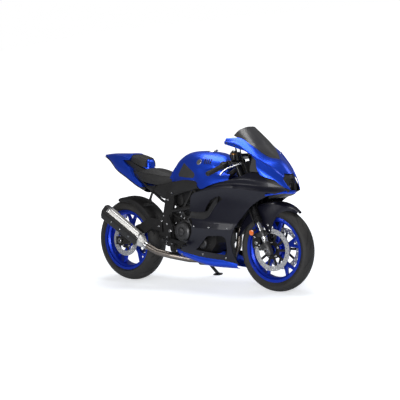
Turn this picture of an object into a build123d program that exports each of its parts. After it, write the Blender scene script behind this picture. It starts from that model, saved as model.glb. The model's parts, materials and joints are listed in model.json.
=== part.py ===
"""Sport motorcycle parked on its side stand: every visible sub-part as its own solid.

Everything is drawn upright in millimetres with +X forward, +Y to the rider's left and +Z up.
The rear axle is at x = 0 and the ground at z = 0.  The last step leans the whole machine
onto its side stand and moves the origin to the middle of its footprint.
"""
from build123d import *
import math
import os

# ---------------------------------------------------------------- driving sizes
WHEELBASE = 1395.0
FRONT_TYRE_R, FRONT_TYRE_W = 300.0, 120.0
REAR_TYRE_R, REAR_TYRE_W = 315.0, 180.0
FRONT_CROWN, REAR_CROWN = 50.0, 85.0      # height of each tyre's rounded tread
RIM_SEAT_R = 218.3                        # 17 inch bead seat
RIM_FLANGE_R, FLANGE_T = 232.0, 5.0
FRONT_RIM_W, REAR_RIM_W = 89.0, 140.0     # between the flanges
TYRE_WALL = 9.0
RAKE = 23.67                              # degrees from upright
FORK_OFFSET = 38.0
FORK_SPACING = 210.0                      # between the two fork legs' axes
FORK_OUTER_R, FORK_INNER_R = 27.0, 20.5
FRONT_AXLE_R, REAR_AXLE_R = 12.5, 12.0
AXLE_BORE_R = 8.0                         # both axles are hollow
FRONT_DISC_R, REAR_DISC_R = 149.0, 122.5
DISC_T = 4.5
HUB_BORE_R = 17.0                         # wheel bearings' room round the axle
SPOKE_PAIRS = 5
PIVOT = (520.0, 405.0)                    # swingarm pivot, x and z
PIVOT_BOLT_R = 12.0
CHAIN_PITCH = 15.875
SPROCKET_TEETH, PINION_TEETH = 42, 16
CHAIN_Y = 105.0
CHAIN_HALF = 8.5
LEAN = 11.0                               # degrees to the left, on the side stand
STAND_PIVOT = (590.0, 128.0, 212.0)
STAND_FOOT = (640.0, 262.0)               # x and y of the foot's middle, deployed
PANEL_T = 3.5                             # moulded bodywork wall
TUBE_R = 17.0                             # frame tubes
PLATE_IN, PLATE_OUT = 120.0, 142.0        # pivot plates, from the middle

rake = math.radians(RAKE)
TRAIL = (FRONT_TYRE_R * math.sin(rake) - FORK_OFFSET) / math.cos(rake)
STEER = Plane(origin=(WHEELBASE + TRAIL, 0, 0), x_dir=(math.cos(rake), 0, math.sin(rake)),
              z_dir=(-math.sin(rake), 0, math.cos(rake)))
AXLE_W = TRAIL * math.sin(rake) + FRONT_TYRE_R * math.cos(rake)   # axle height along the steering axis
FORK_Y = FORK_SPACING / 2
FRONT_AXLE = (WHEELBASE, 0.0, FRONT_TYRE_R)
REAR_AXLE = (0.0, 0.0, REAR_TYRE_R)
LOWER_YOKE_W, UPPER_YOKE_W = 806.0, 1036.0   # heights along the steering axis
LOWER_YOKE_T, UPPER_YOKE_T = 34.0, 24.0
HEAD_TUBE_R, HEAD_BORE_R = 31.0, 24.0
STEM_R = 15.0


# ---------------------------------------------------------------- shape helpers
def side_plane(y):
    """Plane across the machine at y whose local x and y are the machine's x and z."""
    return Plane(origin=(0, y, 0), x_dir=(1, 0, 0), z_dir=(0, -1, 0))


def slab(points, y_low, y_high):
    """A side outline of (x, z) points, solid from y_low to y_high."""
    face = side_plane(y_high) * make_face(Polyline(*points, close=True))
    return extrude(face, amount=y_high - y_low)


def rod(start, end, radius, bore=0.0):
    """A round bar between two points, with an optional bore."""
    a, b = Vector(*start), Vector(*end)
    plane = Plane(origin=a, z_dir=b - a)
    length = (b - a).length
    bar = plane * Cylinder(radius, length, align=(Align.CENTER, Align.CENTER, Align.MIN))
    if bore:
        bar -= plane * Cylinder(bore, length, align=(Align.CENTER, Align.CENTER, Align.MIN))
    return bar


def cross_rod(x, z, y_low, y_high, radius, bore=0.0):
    """A round bar across the machine."""
    return rod((x, y_low, z), (x, y_high, z), radius, bore)


def tube(points, bend, radius, bore=0.0):
    """A pipe along straight runs with tangent bends; bend is one radius or one for each corner."""
    path = FilletPolyline(*points, radius=bend) if len(points) > 2 else Line(*points)
    start = Plane(origin=path @ 0, z_dir=path % 0)
    pipe = sweep(start * Circle(radius), path=path)
    if bore:
        pipe -= sweep(start * Circle(bore), path=path)
    return pipe


def both(shape):
    """The shape and its mirror image on the other side."""
    return [shape, mirror(shape, about=Plane.XZ)]


def turned(axle, profile):
    """A solid of revolution about an axle across the machine; profile is a face of (radius, y)."""
    return Location(axle) * revolve(profile, axis=Axis.Y)


def ring(axle, r_in, r_out, y_low, y_high):
    """A flat ring about an axle."""
    face = make_face(Polyline((r_in, y_low), (r_out, y_low), (r_out, y_high), (r_in, y_high), close=True))
    return turned(axle, face)


def in_section(x, points):
    """The face of (y, z) points at station x."""
    plane = Plane(origin=(x, 0, 0), x_dir=(0, 1, 0), z_dir=(1, 0, 0))
    return plane * make_face(Polyline(*points, close=True))


def hull(stations):
    """A solid through mirrored sections; a station is (x, half outline of (y, z) from the middle)."""
    faces = []
    for x, half in stations:
        other = [(-y, z) for y, z in reversed(half) if y != 0]
        faces.append(in_section(x, list(half) + other))
    return loft(faces, ruled=True)


def inset(points, depth):
    """Points of an open outline moved to their right by depth, mitred at the corners."""
    moved = []
    for i, (y, z) in enumerate(points):
        y0, z0 = points[max(i - 1, 0)]
        y1, z1 = points[min(i + 1, len(points) - 1)]
        length = math.hypot(y1 - y0, z1 - z0)
        moved.append((y + (z1 - z0) / length * depth, z - (y1 - y0) / length * depth))
    return moved


def shell(stations, wall=PANEL_T):
    """A moulded panel; a station is (x, outline of (y, z)), and the wall lies to the outline's right."""
    faces = []
    for x, outline in stations:
        faces.append(in_section(x, list(outline) + list(reversed(inset(outline, wall)))))
    return loft(faces, ruled=True)


def hole_ring(axle, circle_r, hole_r, count, y_low, y_high, phase=0.0):
    """Round cutters on a circle about an axle."""
    cutters = []
    for i in range(count):
        angle = math.radians(phase + 360 * i / count)
        x = axle[0] + circle_r * math.cos(angle)
        z = axle[2] + circle_r * math.sin(angle)
        cutters.append(cross_rod(x, z, y_low, y_high, hole_r))
    return cutters


# ---------------------------------------------------------------- wheels
def tyre(axle, radius, width, crown, rim_w):
    """Hollow tyre: round tread, bulged side walls and beads seated on the rim."""
    half = width / 2
    shoulder = (radius - 0.36 * crown, 0.77 * half)
    widest = (radius - 0.85 * crown, half)
    bead = (RIM_SEAT_R + 0.2, rim_w / 2 - 0.3)
    flange_top = (RIM_FLANGE_R + 2, rim_w / 2 - 0.3)
    inner_bead = (RIM_SEAT_R + 0.2, rim_w / 2 - 14)
    inner_wide = (widest[0], half - TYRE_WALL)
    inner_top = (radius - TYRE_WALL - 3, 0)

    def low(p):
        return (p[0], -p[1])

    outer = ThreePointArc(shoulder, (radius, 0), low(shoulder))
    sides = [
        ThreePointArc(low(shoulder), (radius - 0.6 * crown, -0.945 * half), low(widest)),
        Line(low(widest), low(flange_top)), Line(low(flange_top), low(bead)),
        Line(low(bead), low(inner_bead)), Line(low(inner_bead), low(inner_wide)),
        ThreePointArc(low(inner_wide), inner_top, inner_wide),
        Line(inner_wide, inner_bead), Line(inner_bead, bead), Line(bead, flange_top),
        Line(flange_top, widest),
        ThreePointArc(widest, (radius - 0.6 * crown, 0.945 * half), shoulder),
    ]
    # the joint line of the moulding sits opposite the rim's
    return turned(axle, make_face([outer] + sides)).rotate(Axis(axle, (0, 1, 0)), 180)


def rim(axle, rim_w, hub_half, hub_r, spoke_t):
    """Cast wheel: drop-centre rim, bored hub and pairs of forked spokes."""
    half = rim_w / 2
    wall = 6.0
    outline = [
        (RIM_FLANGE_R, half + FLANGE_T), (RIM_FLANGE_R, half), (RIM_SEAT_R, half),
        (RIM_SEAT_R - 1, half - 18), (RIM_SEAT_R - 15, half - 26),
    ]
    inner = [
        (RIM_SEAT_R - 15 - wall, half - 22), (RIM_SEAT_R - 1 - wall, half - 12),
        (RIM_SEAT_R - wall, half + FLANGE_T),
    ]
    lower = [(r, -y) for r, y in reversed(outline)] + [(r, -y) for r, y in reversed(inner)]
    hoop = turned(axle, make_face(Polyline(*(outline + lower + inner), close=True)))
    wheel = hoop + ring(axle, HUB_BORE_R, hub_r, -hub_half, hub_half)
    root, fork, tip = hub_r - 4, 118.0, RIM_SEAT_R - 15 - wall / 2
    stem, arm, spread = 13.0, 7.5, math.radians(11.5)
    for i in range(SPOKE_PAIRS):
        middle = 2 * math.pi * i / SPOKE_PAIRS + math.pi / 2

        def at(r, side, angle=0.0):
            a = middle + angle
            return (axle[0] + r * math.cos(a) - side * math.sin(a),
                    axle[2] + r * math.sin(a) + side * math.cos(a))

        left = [at(root, stem), at(fork, stem + 3), at(tip, arm, spread)]
        right = [at(root, -stem), at(fork, -stem - 3), at(tip, -arm, -spread)]
        crotch = at(fork + 22, 0)
        outline = left + [at(tip, -arm, spread), crotch, at(tip, arm, -spread)] + right[::-1]
        wheel += slab(outline, -spoke_t / 2, spoke_t / 2)
    return wheel


FRONT_DISC_Y = 66.0
REAR_DISC_Y = -82.0
FRONT_HUB_HALF, REAR_HUB_HALF = 44.0, 60.0
DISC_SEAT_R = 62.0
CARRIER_R, SPIGOT_R = 58.0, 39.95


def front_rim():
    """Front wheel with a disc seat on each side of the hub."""
    wheel = rim(FRONT_AXLE, FRONT_RIM_W, FRONT_HUB_HALF, 40.0, 22.0)
    for side in (-1, 1):
        low, high = sorted((side * (FRONT_HUB_HALF - 6), side * (FRONT_DISC_Y - DISC_T / 2)))
        wheel += ring(FRONT_AXLE, 36.0, DISC_SEAT_R, low, high)
    return wheel


def rear_rim():
    """Rear wheel with the disc seat on its right and the sprocket carrier on its left."""
    wheel = rim(REAR_AXLE, REAR_RIM_W, REAR_HUB_HALF, 52.0, 26.0)
    wheel += ring(REAR_AXLE, 46.0, DISC_SEAT_R, REAR_DISC_Y + DISC_T / 2, -REAR_HUB_HALF + 6)
    wheel += ring(REAR_AXLE, 24.0, CARRIER_R, REAR_HUB_HALF - 6, CHAIN_Y - SPROCKET_T / 2)
    wheel += ring(REAR_AXLE, 24.0, SPIGOT_R, CHAIN_Y - SPROCKET_T / 2, CHAIN_Y + SPROCKET_T / 2)
    return wheel


def disc(axle, radius, band, y_mid, hub_r, tabs, bore_r):
    """Brake disc: a drilled band on a ring of tabs bolted to the hub's face."""
    low, high = y_mid - DISC_T / 2, y_mid + DISC_T / 2
    plate = ring(axle, radius - band, radius, low, high)
    carrier = ring(axle, bore_r, hub_r, low, high)
    for i in range(tabs):
        angle = 360 * i / tabs
        arm = Pos(axle[0], y_mid, axle[2]) * Rot(0, angle, 0) * Pos((hub_r + radius - band) / 2, 0, 0)
        carrier += arm * Box(radius - band - hub_r + 8, DISC_T, 17)
    plate += carrier
    for circle, phase in ((radius - band * 0.28, 0), (radius - band * 0.68, 7.5)):
        for cutter in hole_ring(axle, circle, 4.0, 24, low - 1, high + 1, phase):
            plate -= cutter
    return plate


def front_discs():
    return [disc(FRONT_AXLE, FRONT_DISC_R, 34.0, side * FRONT_DISC_Y, 66.0, 10, 33.0) for side in (-1, 1)]


def rear_disc():
    return disc(REAR_AXLE, REAR_DISC_R, 38.0, REAR_DISC_Y, 62.0, 5, 44.0)


# ---------------------------------------------------------------- chain drive
PINION_AT = (598.0, 415.0)
SPROCKET_T = 5.2


def pitch_radius(teeth):
    return CHAIN_PITCH / 2 / math.sin(math.pi / teeth)


def sprocket_outline(centre, teeth, shrink=0.0):
    """Tooth outline as straight flanks between a root and a tip circle."""
    r_pitch = pitch_radius(teeth)
    root, tip = r_pitch - 5.2 - shrink, r_pitch + 4.0 - shrink
    points = []
    for i in range(teeth):
        for share, r in ((0.0, root), (0.34, root), (0.58, tip), (0.76, tip)):
            a = 2 * math.pi * (i + share) / teeth
            points.append((centre[0] + r * math.cos(a), centre[1] + r * math.sin(a)))
    return points


def rear_sprocket():
    body = slab(sprocket_outline((0, REAR_TYRE_R), SPROCKET_TEETH), CHAIN_Y - SPROCKET_T / 2,
                CHAIN_Y + SPROCKET_T / 2)
    body -= cross_rod(0, REAR_TYRE_R, CHAIN_Y - 5, CHAIN_Y + 5, SPIGOT_R + 0.05)
    for cutter in hole_ring(REAR_AXLE, 78.0, 15.0, 6, CHAIN_Y - 5, CHAIN_Y + 5, 30):
        body -= cutter
    return body


def chain():
    """Roller chain as one loop of side plates with the sprockets' channel between them."""
    big, small = pitch_radius(SPROCKET_TEETH), pitch_radius(PINION_TEETH)
    dx, dz = PINION_AT[0], PINION_AT[1] - REAR_TYRE_R
    distance = math.hypot(dx, dz)
    base = math.atan2(dz, dx)
    spread = math.acos((big - small) / distance)

    def loop(grow):
        def at(centre, r, a):
            return (centre[0] + (r + grow) * math.cos(a), centre[1] + (r + grow) * math.sin(a))
        rear, front = (0, REAR_TYRE_R), PINION_AT
        top, low = base + spread, base - spread
        back = base + math.pi
        return make_face([
            Line(at(rear, big, top), at(front, small, top)),
            ThreePointArc(at(front, small, top), at(front, small, base), at(front, small, low)),
            Line(at(front, small, low), at(rear, big, low)),
            ThreePointArc(at(rear, big, low), at(rear, big, back), at(rear, big, top)),
        ])

    outer, inner = loop(8.0), loop(-8.0)
    band = extrude(side_plane(CHAIN_Y + CHAIN_HALF) * (outer - inner), amount=2 * CHAIN_HALF)
    channel = extrude(side_plane(CHAIN_Y + 3.6) * (loop(9.0) - loop(-9.0)), amount=7.2)
    roller = extrude(side_plane(CHAIN_Y + 3.6) * (loop(3.5) - loop(-3.5)), amount=7.2)
    near_big = cross_rod(0, REAR_TYRE_R, CHAIN_Y - 3.6, CHAIN_Y + 3.6, big + 8)
    return (band - channel) + (roller - near_big)


# ---------------------------------------------------------------- steering
def in_steer(shape):
    """Shapes drawn about the steering axis (x forward of it, y left, z along it) set in place."""
    return STEER.location * shape


def yokes():
    """Lower and upper yokes clamped to both fork tubes, joined by the hollow steering stem."""
    body = None
    for w, thick, nose in ((LOWER_YOKE_W, LOWER_YOKE_T, 6.0), (UPPER_YOKE_W, UPPER_YOKE_T, 0.0)):
        plate = Polyline((-30, -32), (-34, 0), (-30, 32), (FORK_OFFSET - 32, FORK_Y + 18),
                         (FORK_OFFSET + 22, FORK_Y + 18), (FORK_OFFSET + 8 + nose, 30),
                         (FORK_OFFSET + 8 + nose, -30), (FORK_OFFSET + 22, -FORK_Y - 18),
                         (FORK_OFFSET - 32, -FORK_Y - 18), close=True)
        plate = Pos(0, 0, w - thick / 2) * extrude(make_face(plate), amount=thick)
        for side in (-1, 1):
            clamp = Cylinder(FORK_OUTER_R + 9, thick)
            plate += Pos(FORK_OFFSET, side * FORK_Y, w) * clamp
        for side in (-1, 1):
            plate -= Pos(FORK_OFFSET, side * FORK_Y, w) * Cylinder(FORK_OUTER_R + 0.02, thick * 2)
        body = plate if body is None else body + plate
    low, high = LOWER_YOKE_W - LOWER_YOKE_T / 2, UPPER_YOKE_W + UPPER_YOKE_T / 2 + 10
    body += Pos(0, 0, low) * Cylinder(STEM_R, high - low, align=(Align.CENTER, Align.CENTER, Align.MIN))
    bore = Cylinder(STEM_R - 4, high - low + 2, align=(Align.CENTER, Align.CENTER, Align.MIN))
    return in_steer(body - Pos(0, 0, low) * bore)


OUTER_LOW_W, OUTER_HIGH_W = 520.0, 1062.0
LEG_HIGH_W = AXLE_W + 62


def fork_outers():
    """Upside-down fork's upper tubes with a stepped guard collar at the lower end."""
    legs = []
    for side in (-1, 1):
        profile = [(FORK_INNER_R + 0.3, OUTER_LOW_W), (FORK_OUTER_R + 2, OUTER_LOW_W),
                   (FORK_OUTER_R + 2, OUTER_LOW_W + 46), (FORK_OUTER_R, OUTER_LOW_W + 52),
                   (FORK_OUTER_R, OUTER_HIGH_W - 6), (FORK_OUTER_R - 4, OUTER_HIGH_W),
                   (0, OUTER_HIGH_W), (0, OUTER_HIGH_W - 20), (FORK_INNER_R + 0.3, OUTER_HIGH_W - 24)]
        face = Plane.XZ * make_face(Polyline(*profile, close=True))
        legs.append(in_steer(Pos(FORK_OFFSET, side * FORK_Y, 0) * revolve(face, axis=Axis.Z)))
    return legs


def fork_legs():
    """Inner tubes in their cast axle clamps, with the lugs that the brake calipers bolt to."""
    legs = []
    for side in (-1, 1):
        stanchion = Pos(0, 0, AXLE_W - 20) * Cylinder(
            FORK_INNER_R, OUTER_HIGH_W - 140 - AXLE_W, align=(Align.CENTER, Align.CENTER, Align.MIN))
        foot = [(0, AXLE_W - 34), (22, AXLE_W - 34), (27, AXLE_W - 20), (28, AXLE_W + 34),
                (25, LEG_HIGH_W), (0, LEG_HIGH_W)]
        cast = revolve(Plane.XZ * make_face(Polyline(*foot, close=True)), axis=Axis.Z)
        lug = Plane.XZ.offset(-9) * make_face(Polyline(
            (-20, AXLE_W + 18), (-52, AXLE_W + 22), (-58, AXLE_W + 40), (-48, AXLE_W + 62),
            (-20, AXLE_W + 56), close=True))
        upper = Plane.XZ.offset(-9) * make_face(Polyline(
            (-18, AXLE_W + 110), (-44, AXLE_W + 118), (-52, AXLE_W + 136), (-40, AXLE_W + 146),
            (-18, AXLE_W + 138), close=True))
        collar = Pos(0, 0, AXLE_W + 124) * Cylinder(FORK_INNER_R + 5, 44)
        leg = stanchion + cast + collar + extrude(lug, amount=18) + extrude(upper, amount=18)
        bore = Pos(0, 0, AXLE_W) * Rot(90, 0, 0) * Cylinder(FRONT_AXLE_R + 0.02, 90)
        leg -= bore
        legs.append(in_steer(Pos(FORK_OFFSET, side * FORK_Y, 0) * leg))
    return legs


def front_axle():
    """Hollow spindle through both axle clamps, with spacers up to the hub."""
    end = FORK_Y + 30
    x, z = WHEELBASE, FRONT_TYRE_R
    body = cross_rod(x, z, -end, end, FRONT_AXLE_R)
    body += cross_rod(x, z, -end - 7, -end, 17.0)
    for side in (-1, 1):
        near, far = sorted((side * (FORK_Y - 28.5), side * 45.0))
        body += cross_rod(x, z, near, far, 16.0)
    return body - cross_rod(x, z, -end - 10, end + 10, AXLE_BORE_R)


BAR_CLAMP_W = UPPER_YOKE_W - 30
BAR_SWEEP, BAR_DROP = 12.0, 20.0          # degrees back and down
BAR_LENGTH, BAR_R = 222.0, 11.0


def bar_frame(side):
    """Frame at a clip-on's clamp: z runs out along the bar, x is forward."""
    sweep_a, drop_a = math.radians(BAR_SWEEP), math.radians(BAR_DROP)
    clamp = STEER.from_local_coords(Vector(FORK_OFFSET, side * FORK_Y, BAR_CLAMP_W))
    out = Vector(-math.sin(sweep_a) * math.cos(drop_a), side * math.cos(sweep_a) * math.cos(drop_a),
                 -math.sin(drop_a))
    start = clamp + out * (FORK_OUTER_R + 6)
    return Plane(origin=start, x_dir=Vector(1, 0, 0.2) - out * out.dot(Vector(1, 0, 0.2)), z_dir=out)


def handlebars():
    """Two clip-on bars, each a tube welded to a clamp round its fork tube."""
    bars = []
    for side in (-1, 1):
        clamp = Cylinder(FORK_OUTER_R + 7, 34) - Cylinder(FORK_OUTER_R + 0.02, 40)
        body = in_steer(Pos(FORK_OFFSET, side * FORK_Y, BAR_CLAMP_W) * clamp)
        bar = Cylinder(BAR_R, BAR_LENGTH + 4, align=(Align.CENTER, Align.CENTER, Align.MIN))
        bar = bar_frame(side) * (Pos(0, 0, -4) * bar)
        inner = in_steer(Pos(FORK_OFFSET, side * FORK_Y, BAR_CLAMP_W) * Cylinder(FORK_OUTER_R + 0.02, 60))
        bars.append(body + (bar - inner))
    return bars


GRIP_START, GRIP_LENGTH, GRIP_R = 104.0, 118.0, 17.0


def grips():
    """Rubber grips with an inboard flange and a steel end weight on each bar."""
    made = []
    for side in (-1, 1):
        profile = [(BAR_R + 0.02, GRIP_START), (GRIP_R + 4, GRIP_START), (GRIP_R + 4, GRIP_START + 5),
                   (GRIP_R, GRIP_START + 8), (GRIP_R - 1, GRIP_START + GRIP_LENGTH),
                   (GRIP_R + 1, BAR_LENGTH + 1), (GRIP_R, BAR_LENGTH + 22), (GRIP_R - 3, BAR_LENGTH + 25),
                   (0, BAR_LENGTH + 25), (0, BAR_LENGTH + 0.5), (BAR_R + 0.02, BAR_LENGTH + 0.5)]
        face = Plane.XZ * make_face(Polyline(*profile, close=True))
        made.append(bar_frame(side) * revolve(face, axis=Axis.Z))
    return made


def hand_controls():
    """Brake master cylinder and lever on the right, clutch perch and lever on the left."""
    made = []
    for side in (-1, 1):
        frame = bar_frame(side)
        perch = Pos(0, 0, 46) * Cylinder(BAR_R + 8, 26) - Pos(0, 0, 46) * Cylinder(BAR_R + 0.02, 40)
        perch += Pos(BAR_R + 17, 0, 48) * Box(30, 20, 34)
        switch = Pos(0, 0, 85) * Cylinder(BAR_R + 10, 28) - Pos(0, 0, 85) * Cylinder(BAR_R + 0.02, 40)
        pivot = Vector(BAR_R + 39, 0, 58)
        path = [(pivot.X, 0, pivot.Z), (pivot.X + 38, 0, pivot.Z + 34), (pivot.X + 30, 0, pivot.Z + 92),
                (pivot.X + 42, 0, pivot.Z + 164)]
        lever = tube(path, 20, 6.0) + Pos(path[-1]) * Sphere(8.5)
        lever += Pos(pivot.X, 0, pivot.Z) * Rot(90, 0, 0) * Cylinder(11, 14)
        body = frame * (perch + switch)
        body += frame * lever
        if side < 0:
            pump = frame * (Pos(BAR_R + 20, 0, 30) * Cylinder(12, 50))
            body += pump
            cup = frame.from_local_coords(Vector(BAR_R + 24, 0, 16))
            body += Pos(cup.X, cup.Y, cup.Z + 30) * Cylinder(17, 40)
        made.append(body)
    return made


def front_calipers():
    """Radial four-piston calipers straddling each front disc behind the fork legs."""
    made = []
    for side in (-1, 1):
        x, z = WHEELBASE, FRONT_TYRE_R
        y = side * FRONT_DISC_Y
        block = [(-152, 8), (-158, 40), (-150, 96), (-122, 122), (-92, 104), (-84, 60), (-98, 12)]
        body = slab([(x + a, z + b) for a, b in block], y - 25, y + 25)
        slot = ring(FRONT_AXLE, 30, FRONT_DISC_R + 5, y - DISC_T / 2 - 5, y + DISC_T / 2 + 5)
        made.append(body - slot)
    return made


def front_fender():
    """Front mudguard: an arched sheet with side skirts that reach the fork legs."""
    inner = FRONT_TYRE_R + 18
    hub = Pos(WHEELBASE, 0, FRONT_TYRE_R)
    rows = [
        # angle from forward, half width, arch height, skirt depth
        (56, 34, 14, 6), (70, 54, 16, 22), (84, 66, 18, 44), (98, 72, 18, 84), (110, 74, 18, 128),
        (124, 74, 18, 128), (138, 72, 16, 60), (152, 68, 14, 34), (166, 60, 10, 18),
    ]
    faces = []
    for angle, half, arch, skirt in rows:
        outer = [(-half, -skirt), (-half, 0), (-half * 0.55, arch), (0, arch + 4), (half * 0.55, arch),
                 (half, 0), (half, -skirt)]
        wall = inset(outer, 3.0)
        plane = Plane(origin=(0, 0, 0), x_dir=(0, 1, 0),
                      z_dir=(math.sin(math.radians(angle)), 0, -math.cos(math.radians(angle))))
        section = make_face(Polyline(*(outer + wall[::-1]), close=True))
        lift = Vector(math.cos(math.radians(angle)), 0, math.sin(math.radians(angle))) * inner
        faces.append(hub * (Pos(lift.X, lift.Y, lift.Z) * (plane * section)))
    return loft(faces, ruled=True)


# ---------------------------------------------------------------- chassis
def frame():
    """Head tube, twin diamond tubes each side and cast swingarm pivot plates."""
    low, high = LOWER_YOKE_W + LOWER_YOKE_T / 2 + 8, UPPER_YOKE_W - UPPER_YOKE_T / 2 - 8
    head = Pos(0, 0, low) * Cylinder(HEAD_TUBE_R, high - low, align=(Align.CENTER, Align.CENTER, Align.MIN))
    body = in_steer(head)
    plate = [(440, 500), (470, 640), (486, 700), (552, 706), (560, 640), (520, 480), (566, 440),
             (560, 360), (540, 292), (484, 292), (462, 340), (452, 380)]
    for side in (-1, 1):
        upper = tube([(1090, side * 22, 890), (985, side * 116, 768), (720, side * 130, 728),
                      (530, side * 130, 680)], 60, TUBE_R)
        lower = tube([(1128, side * 22, 810), (1030, side * 132, 690), (800, side * 150, 600),
                      (540, side * 130, 560)], 60, TUBE_R)
        body += upper + lower
        for x_up, z_up, x_low, z_low in ((930, 757, 850, 622), (730, 728, 850, 622), (730, 728, 650, 585)):
            body += rod((x_up, side * 126, z_up - 4), (x_low, side * 142, z_low), 11)
        low_y, high_y = sorted((side * PLATE_IN, side * PLATE_OUT))
        body += slab(plate, low_y, high_y)
    for x, z in ((512, 672), (506, 306)):
        body += cross_rod(x, z, -PLATE_IN - 2, PLATE_IN + 2, 12)
    body += stand_bracket()
    bore = Cylinder(HEAD_BORE_R, high - low + 120, align=(Align.CENTER, Align.CENTER, Align.MIN))
    body -= in_steer(Pos(0, 0, low - 20) * bore)
    return body + cross_rod(PIVOT[0], PIVOT[1], -PLATE_OUT - 6, PLATE_OUT + 6, PIVOT_BOLT_R)


RAIL_R, STRUT_R = 12.0, 10.0              # seat rails and the struts under them


def subframe():
    """Rear frame: twin rails each side under the seats, crossed by stays and a battery tray."""
    body = None
    for side in (-1, 1):
        rail = tube([(560, side * 92, 735), (430, side * 92, 728), (180, side * 84, 800),
                     (-60, side * 58, 905)], 50, RAIL_R)
        strut = tube([(482, side * 92, 600), (400, side * 92, 630), (60, side * 72, 852)], 50, STRUT_R)
        body = rail + strut if body is None else body + rail + strut
    for x, z in ((400, 733), (190, 798), (20, 872)):
        body += cross_rod(x, z, -88, 88, 9)
    body += slab([(420, 716), (200, 782), (206, 798), (424, 732)], -82, 82)
    return body


ENGINE_HALF = 118.0
CLUTCH_AT, CLUTCH_R = (648.0, 408.0), 74.0
ROTOR_AT, ROTOR_R = (775.0, 396.0), 64.0


def engine():
    """Twin-cylinder engine: crankcases, sump, leaning cylinders with fins, head and cam cover."""
    cases = slab([(572, 300), (580, 470), (640, 525), (760, 520), (930, 455), (935, 330), (890, 272),
                  (620, 272)], -ENGINE_HALF, ENGINE_HALF)
    cases += slab([(650, 280), (860, 280), (830, 240), (670, 240)], -76, 76)
    cases -= slab([(540, 340), (655, 350), (655, 478), (540, 486)], CHAIN_Y - 16, ENGINE_HALF + 1)
    cylinders = slab([(745, 500), (905, 440), (968, 560), (812, 636)], -104, 104)
    fins = None
    for i in range(5):
        share = 0.12 + 0.19 * i
        x0, z0 = 745 + share * 67, 500 + share * 136
        x1, z1 = 905 + share * 63, 440 + share * 120
        fin = slab([(x0 - 8, z0 - 2), (x1 + 8, z1 - 2), (x1 + 10, z1 + 4), (x0 - 6, z0 + 4)], -111, 111)
        fins = fin if fins is None else fins + fin
    head = slab([(812, 636), (968, 560), (1000, 640), (960, 700), (850, 715), (815, 690)], -112, 112)
    cover = slab([(840, 712), (950, 700), (955, 722), (850, 738)], -96, 96)
    return cases + cylinders + fins + head + cover


def engine_covers():
    """Round clutch cover on the right, alternator cover and sprocket cover on the left."""
    made = []
    x, z = CLUTCH_AT
    at = Location((x, 0, z))
    clutch = [(0, -ENGINE_HALF), (CLUTCH_R + 8, -ENGINE_HALF), (CLUTCH_R + 8, -ENGINE_HALF - 12),
              (CLUTCH_R, -ENGINE_HALF - 14), (CLUTCH_R - 4, -ENGINE_HALF - 46),
              (CLUTCH_R - 16, -ENGINE_HALF - 56), (CLUTCH_R - 40, -ENGINE_HALF - 58),
              (CLUTCH_R - 44, -ENGINE_HALF - 52), (0, -ENGINE_HALF - 52)]
    made.append(at * revolve(make_face(Polyline(*clutch, close=True)), axis=Axis.Y))
    x, z = ROTOR_AT
    rotor = [(0, ENGINE_HALF), (ROTOR_R + 8, ENGINE_HALF), (ROTOR_R + 8, ENGINE_HALF + 12),
             (ROTOR_R, ENGINE_HALF + 14), (ROTOR_R - 6, ENGINE_HALF + 28), (ROTOR_R - 20, ENGINE_HALF + 34),
             (0, ENGINE_HALF + 34)]
    made.append(Location((x, 0, z)) * revolve(make_face(Polyline(*rotor, close=True)), axis=Axis.Y))
    pump = [(0, -ENGINE_HALF), (40, -ENGINE_HALF), (40, -ENGINE_HALF - 22), (32, -ENGINE_HALF - 30),
            (0, -ENGINE_HALF - 30)]
    made.append(Location((820, 0, 330)) * revolve(make_face(Polyline(*pump, close=True)), axis=Axis.Y))
    made.append(slab([(570, 352), (640, 346), (664, 400), (652, 468), (588, 480), (570, 440)], ENGINE_HALF,
                     ENGINE_HALF + 14))
    return made


def radiator():
    """Cross-flow radiator with side tanks and a filler neck, in front of the cylinders."""
    core = [(1052, 450), (1080, 444), (1124, 684), (1096, 690)]
    body = slab(core, -130, 130)
    tanks = [(1048, 446), (1084, 440), (1128, 688), (1092, 694)]
    body += slab(tanks, -152, -130) + slab(tanks, 130, 152)
    louvre = [(1076, 452), (1084, 450), (1088, 452), (1080, 458)]
    for i in range(9):
        step = i * 27.0
        shift = step * (48 / 256)
        body -= slab([(x + 2 + shift, z + 8 + step) for x, z in louvre], -122, 122)
    return body


PIPE_R, PIPE_WALL = 21.0, 2.0
MUFFLER_END = (-92.0, -190.0, 532.0)
MUFFLER_START = (300.0, -178.0, 296.0)


def exhaust_headers():
    """Two front pipes sweeping under the sump into a collector and one pipe up to the muffler."""
    body = None
    for side in (-1, 1):
        pipe = tube([(990, side * 52, 600), (1034, side * 52, 560), (1010, side * 50, 300),
                     (960, side * 42, 192), (800, side * 24, 190)], [22, 60, 60], PIPE_R)
        body = pipe if body is None else body + pipe
    body += rod((830, 0, 190), (690, 0, 190), 40)
    tail = tube([(704, 0, 190), (610, -40, 194), (500, -120, 222), (400, -166, 250), MUFFLER_START],
                [70, 70, 70], 25)
    return body + tail


def muffler_frame():
    axis = Vector(*MUFFLER_END) - Vector(*MUFFLER_START)
    outboard = Vector(0, -1, 0)
    along = axis.normalized()
    return Plane(origin=Vector(*MUFFLER_START), z_dir=axis, x_dir=outboard - along * along.dot(outboard))


MUFFLER_LENGTH = math.dist(MUFFLER_START, MUFFLER_END)


def muffler_outline(scale):
    """Five-sided can section: x points outboard and y up across the can's axis."""
    points = [(-34, -46), (-38, 20), (-14, 62), (28, 58), (46, 10), (26, -52)]
    return [(x * scale, y * scale) for x, y in points]


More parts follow.
